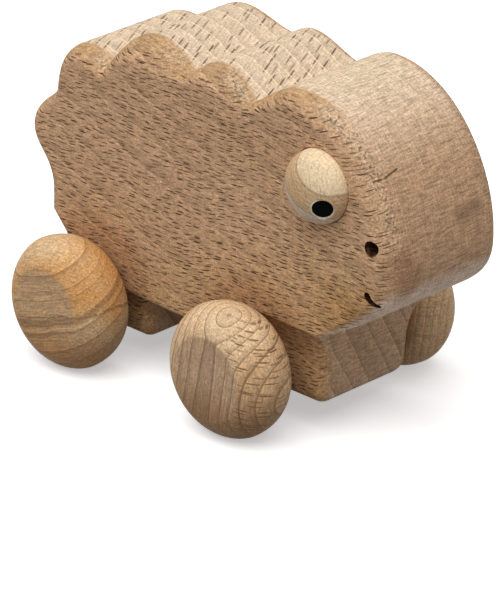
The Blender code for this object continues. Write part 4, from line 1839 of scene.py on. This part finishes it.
@dataclass
class Studio:
    """White paper floor, one large soft lamp towards the camera's side, and the camera.

    Attributes:
        azimuth: The camera's way round the toy, in degrees from behind -Y.
        elevation: Its height above the horizon, in degrees.
        target: The point that it looks at.
        distance: How far away it is.
        focal: Its focal length in pixels of the picture.
        sensor: The width of its film, in millimetres.
        clip: The nearest and the farthest that it sees.
        picture: The picture's width and height in pixels.
        centre: Where the target lies in the picture.
        key: The large lamp's level on a surface that faces it.
        key_way: The way to the lamp.
        key_angle: How wide the lamp is, seen from the toy.
        ambient: The level of the light from all round.
        floor_size: The paper's width.
        floor_paper: The paper's colour as it is seen.
        floor_bounce: The duller colour with which it lights the toy.
        floor_glow: How much the paper shines where it is seen.
    """

    azimuth: float = 44.72
    elevation: float = 23.85
    target: Triple = (-5.45 * MM, 0.0, 36.1 * MM)
    distance: float = 1267.1 * MM
    focal: float = 4922.5
    sensor: float = 36.0
    clip: Pair = (0.05, 20.0)
    picture: tuple[int, int] = (500, 600)
    centre: Pair = (246.0, 241.0)
    key: float = 0.85
    key_way: Triple = (0.12, -0.33, 0.936)
    key_angle: float = math.radians(70.0)
    ambient: float = 0.30
    floor_size: float = 6.0
    floor_paper: Colour = (0.95, 0.95, 0.95)
    floor_bounce: Colour = (0.28, 0.28, 0.28)
    floor_glow: float = 0.43

    def seen(self, bench: NodeBench) -> Signal:
        """Tells what the camera sees from light on the toy.

        Args:
            bench: The material or world that it is for.

        Returns:
            1 for what the camera sees, straight, in a gloss or through glass, and 0 for light on the toy.
        """
        path = bench.add("ShaderNodeLightPath", output="Is Camera Ray")
        return path.most(path.other("Is Glossy Ray")).most(path.other("Is Transmission Ray"))

    def build_floor(self) -> bpy.types.Object:
        """Makes the floor.

        Returns:
            The floor.
        """
        work = bmesh.new()
        bmesh.ops.create_grid(work, x_segments=2, y_segments=2, size=self.floor_size / 2)
        floor = new_object("paper_floor", mesh_of(work, "paper_floor"))
        bench = NodeBench(bpy.data.materials.new("white_paper"))
        bounce, paper = (bench.add("ShaderNodeBsdfDiffuse", {}, {"Color": (*colour, 1.0)})
                         for colour in (self.floor_bounce, self.floor_paper))
        glow = bench.add("ShaderNodeEmission", {}, {"Color": (1.0,) * 4, "Strength": self.floor_glow})
        lit = bench.add("ShaderNodeAddShader", {}, {0: paper, 1: glow})
        both = bench.add("ShaderNodeMixShader", {}, {0: self.seen(bench), 1: bounce, 2: lit})
        bench.add("ShaderNodeOutputMaterial", {}, {"Surface": both})
        floor.data.materials.append(bench.owner)
        return floor

    def build_world(self) -> None:
        """Makes the even light from all round, which the camera sees as white."""
        bench = NodeBench(bpy.data.worlds.new("studio"))
        level = bench.add("ShaderNodeMix", {}, {0: self.seen(bench), 2: self.ambient, 3: 1.0})
        background = bench.add("ShaderNodeBackground", {}, {"Color": (1.0,) * 4, "Strength": level})
        bench.add("ShaderNodeOutputWorld", {}, {"Surface": background})
        bpy.context.scene.world = bench.owner

    def build_lamp(self) -> None:
        """Hangs the large soft lamp."""
        light = bpy.data.lights.new("soft_lamp", "SUN")
        light.angle, light.energy = self.key_angle, math.pi * self.key
        lamp = new_object("soft_lamp", light)
        lamp.matrix_world = Vector(self.key_way).to_track_quat("Z", "Y").to_matrix().to_4x4()

    def build_camera(self) -> None:
        """Sets the camera at the picture's viewing angle."""
        turn, lift = math.radians(self.azimuth), math.radians(self.elevation)
        back = Vector((math.sin(turn) * math.cos(lift), -math.cos(turn) * math.cos(lift), math.sin(lift)))
        right = Vector((math.cos(turn), math.sin(turn), 0.0))
        axes = Matrix((right, back.cross(right), back)).transposed().to_4x4()
        data = bpy.data.cameras.new("camera")
        (width, height), longer = self.picture, max(self.picture)
        data.sensor_fit, data.sensor_width = "AUTO", self.sensor
        data.lens = self.focal * self.sensor / longer
        data.shift_x = (width / 2 - self.centre[0]) / longer
        data.shift_y = (self.centre[1] - height / 2) / longer
        data.clip_start, data.clip_end = self.clip
        camera = new_object("camera", data)
        camera.matrix_world = Matrix.Translation(Vector(self.target) + back * self.distance) @ axes
        bpy.context.scene.camera = camera

    def build(self) -> None:
        """Sets up the whole studio."""
        self.build_floor()
        self.build_world()
        self.build_lamp()
        self.build_camera()
        bpy.context.scene.view_settings.view_transform = "Standard"


def wheel_woods() -> dict[End, dict[Side, WheelBeech]]:
    """Chooses the wheels' woods.

    Returns:
        Each wheel's wood, by its end and its side.
    """
    upright, level = (0.0, Grain.UPRIGHT.value, 0.0), (0.0, Grain.LEVEL.value, 0.0)
    # The near wheel's foot colour is painted shade near the ground; the rear wheels keep the default painted shade.
    near = WheelBeech(
        "front_right_beech", turn=(0.0, Grain.UPRIGHT.value, -1.5), pith=(-2.9, 0.0), ring_gap=2.5, unrest=0.25,
        drift=0.6, phase=0.605, arch=13.0, line_depth=0.5, late_depth=0.18, ray_depth=0.05, checks=1.0, seed=2.0,
        warm=(0.66, 0.41, 0.22), pale=(0.86, 0.65, 0.42), grey=(0.58, 0.385, 0.24), foot=(0.30, 0.165, 0.075))
    # Painted fill light: the far wheel lies in the block's shade, so its colours, the foot's too, are drawn paler
    # than the near wheel's.
    far = WheelBeech(
        "front_left_beech", turn=upright, pith=(5.0, -24.0), ring_gap=1.9, unrest=0.9, line_depth=0.25,
        late_depth=0.15, ray_depth=0.05, checks=0.4, seed=4.0, warm=(0.74, 0.47, 0.25), pale=(0.84, 0.61, 0.38),
        grey=(0.70, 0.47, 0.29), foot=(0.76, 0.48, 0.26))
    rear = {side: WheelBeech(
        f"rear_{side.word}_beech", turn=level, pith=(40.0, -70.0), ring_gap=4.5, unrest=2.0, line_depth=0.4,
        late_depth=0.12, streak_depth=1.0, seed=7.0 + side.value, warm=(0.63, 0.31, 0.10), pale=(0.70, 0.54, 0.34),
        grey=(0.60, 0.385, 0.215)) for side in Side}
    return {End.FRONT: {Side.RIGHT: near, Side.LEFT: far}, End.REAR: rear}


def main() -> None:
    """Builds the toy and its studio."""
    logging.basicConfig(level=logging.INFO, format="%(name)s: %(message)s")
    legs = (
        Leg(End.FRONT, FRONT_X, back=12.5 * MM, front=20.5 * MM, drop=10.0 * MM, cove_top=13.0 * MM,
            cove_rise=11.0 * MM, lean=0.12),
        Leg(End.REAR, REAR_X, back=10.6 * MM, front=14.4 * MM, drop=11.7 * MM, cove_top=9.4 * MM,
            cove_rise=5.0 * MM),
    )
    block = SheepBlock(BlockBeech(), CutBeech(), legs)
    eyes = [Eye(side, EyeBeech("eye_beech_" + side.word, seed=1.3 + side.value),
                BlackStain("black_stain_" + side.word)) for side in Side]
    woods = wheel_woods()
    wheel_sets = [
        WheelSet(End.FRONT, FRONT_X, woods[End.FRONT], DowelBeech("front_dowel_beech", seed=5.0)),
        WheelSet(End.REAR, REAR_X, woods[End.REAR], DowelBeech("rear_dowel_beech", seed=6.0)),
    ]
    block.build(eyes)
    for eye in eyes:
        eye.build(block)
    for wheel_set in wheel_sets:
        wheel_set.build(block.axle_height)
    Studio().build()


if __name__ == "__main__":
    main()
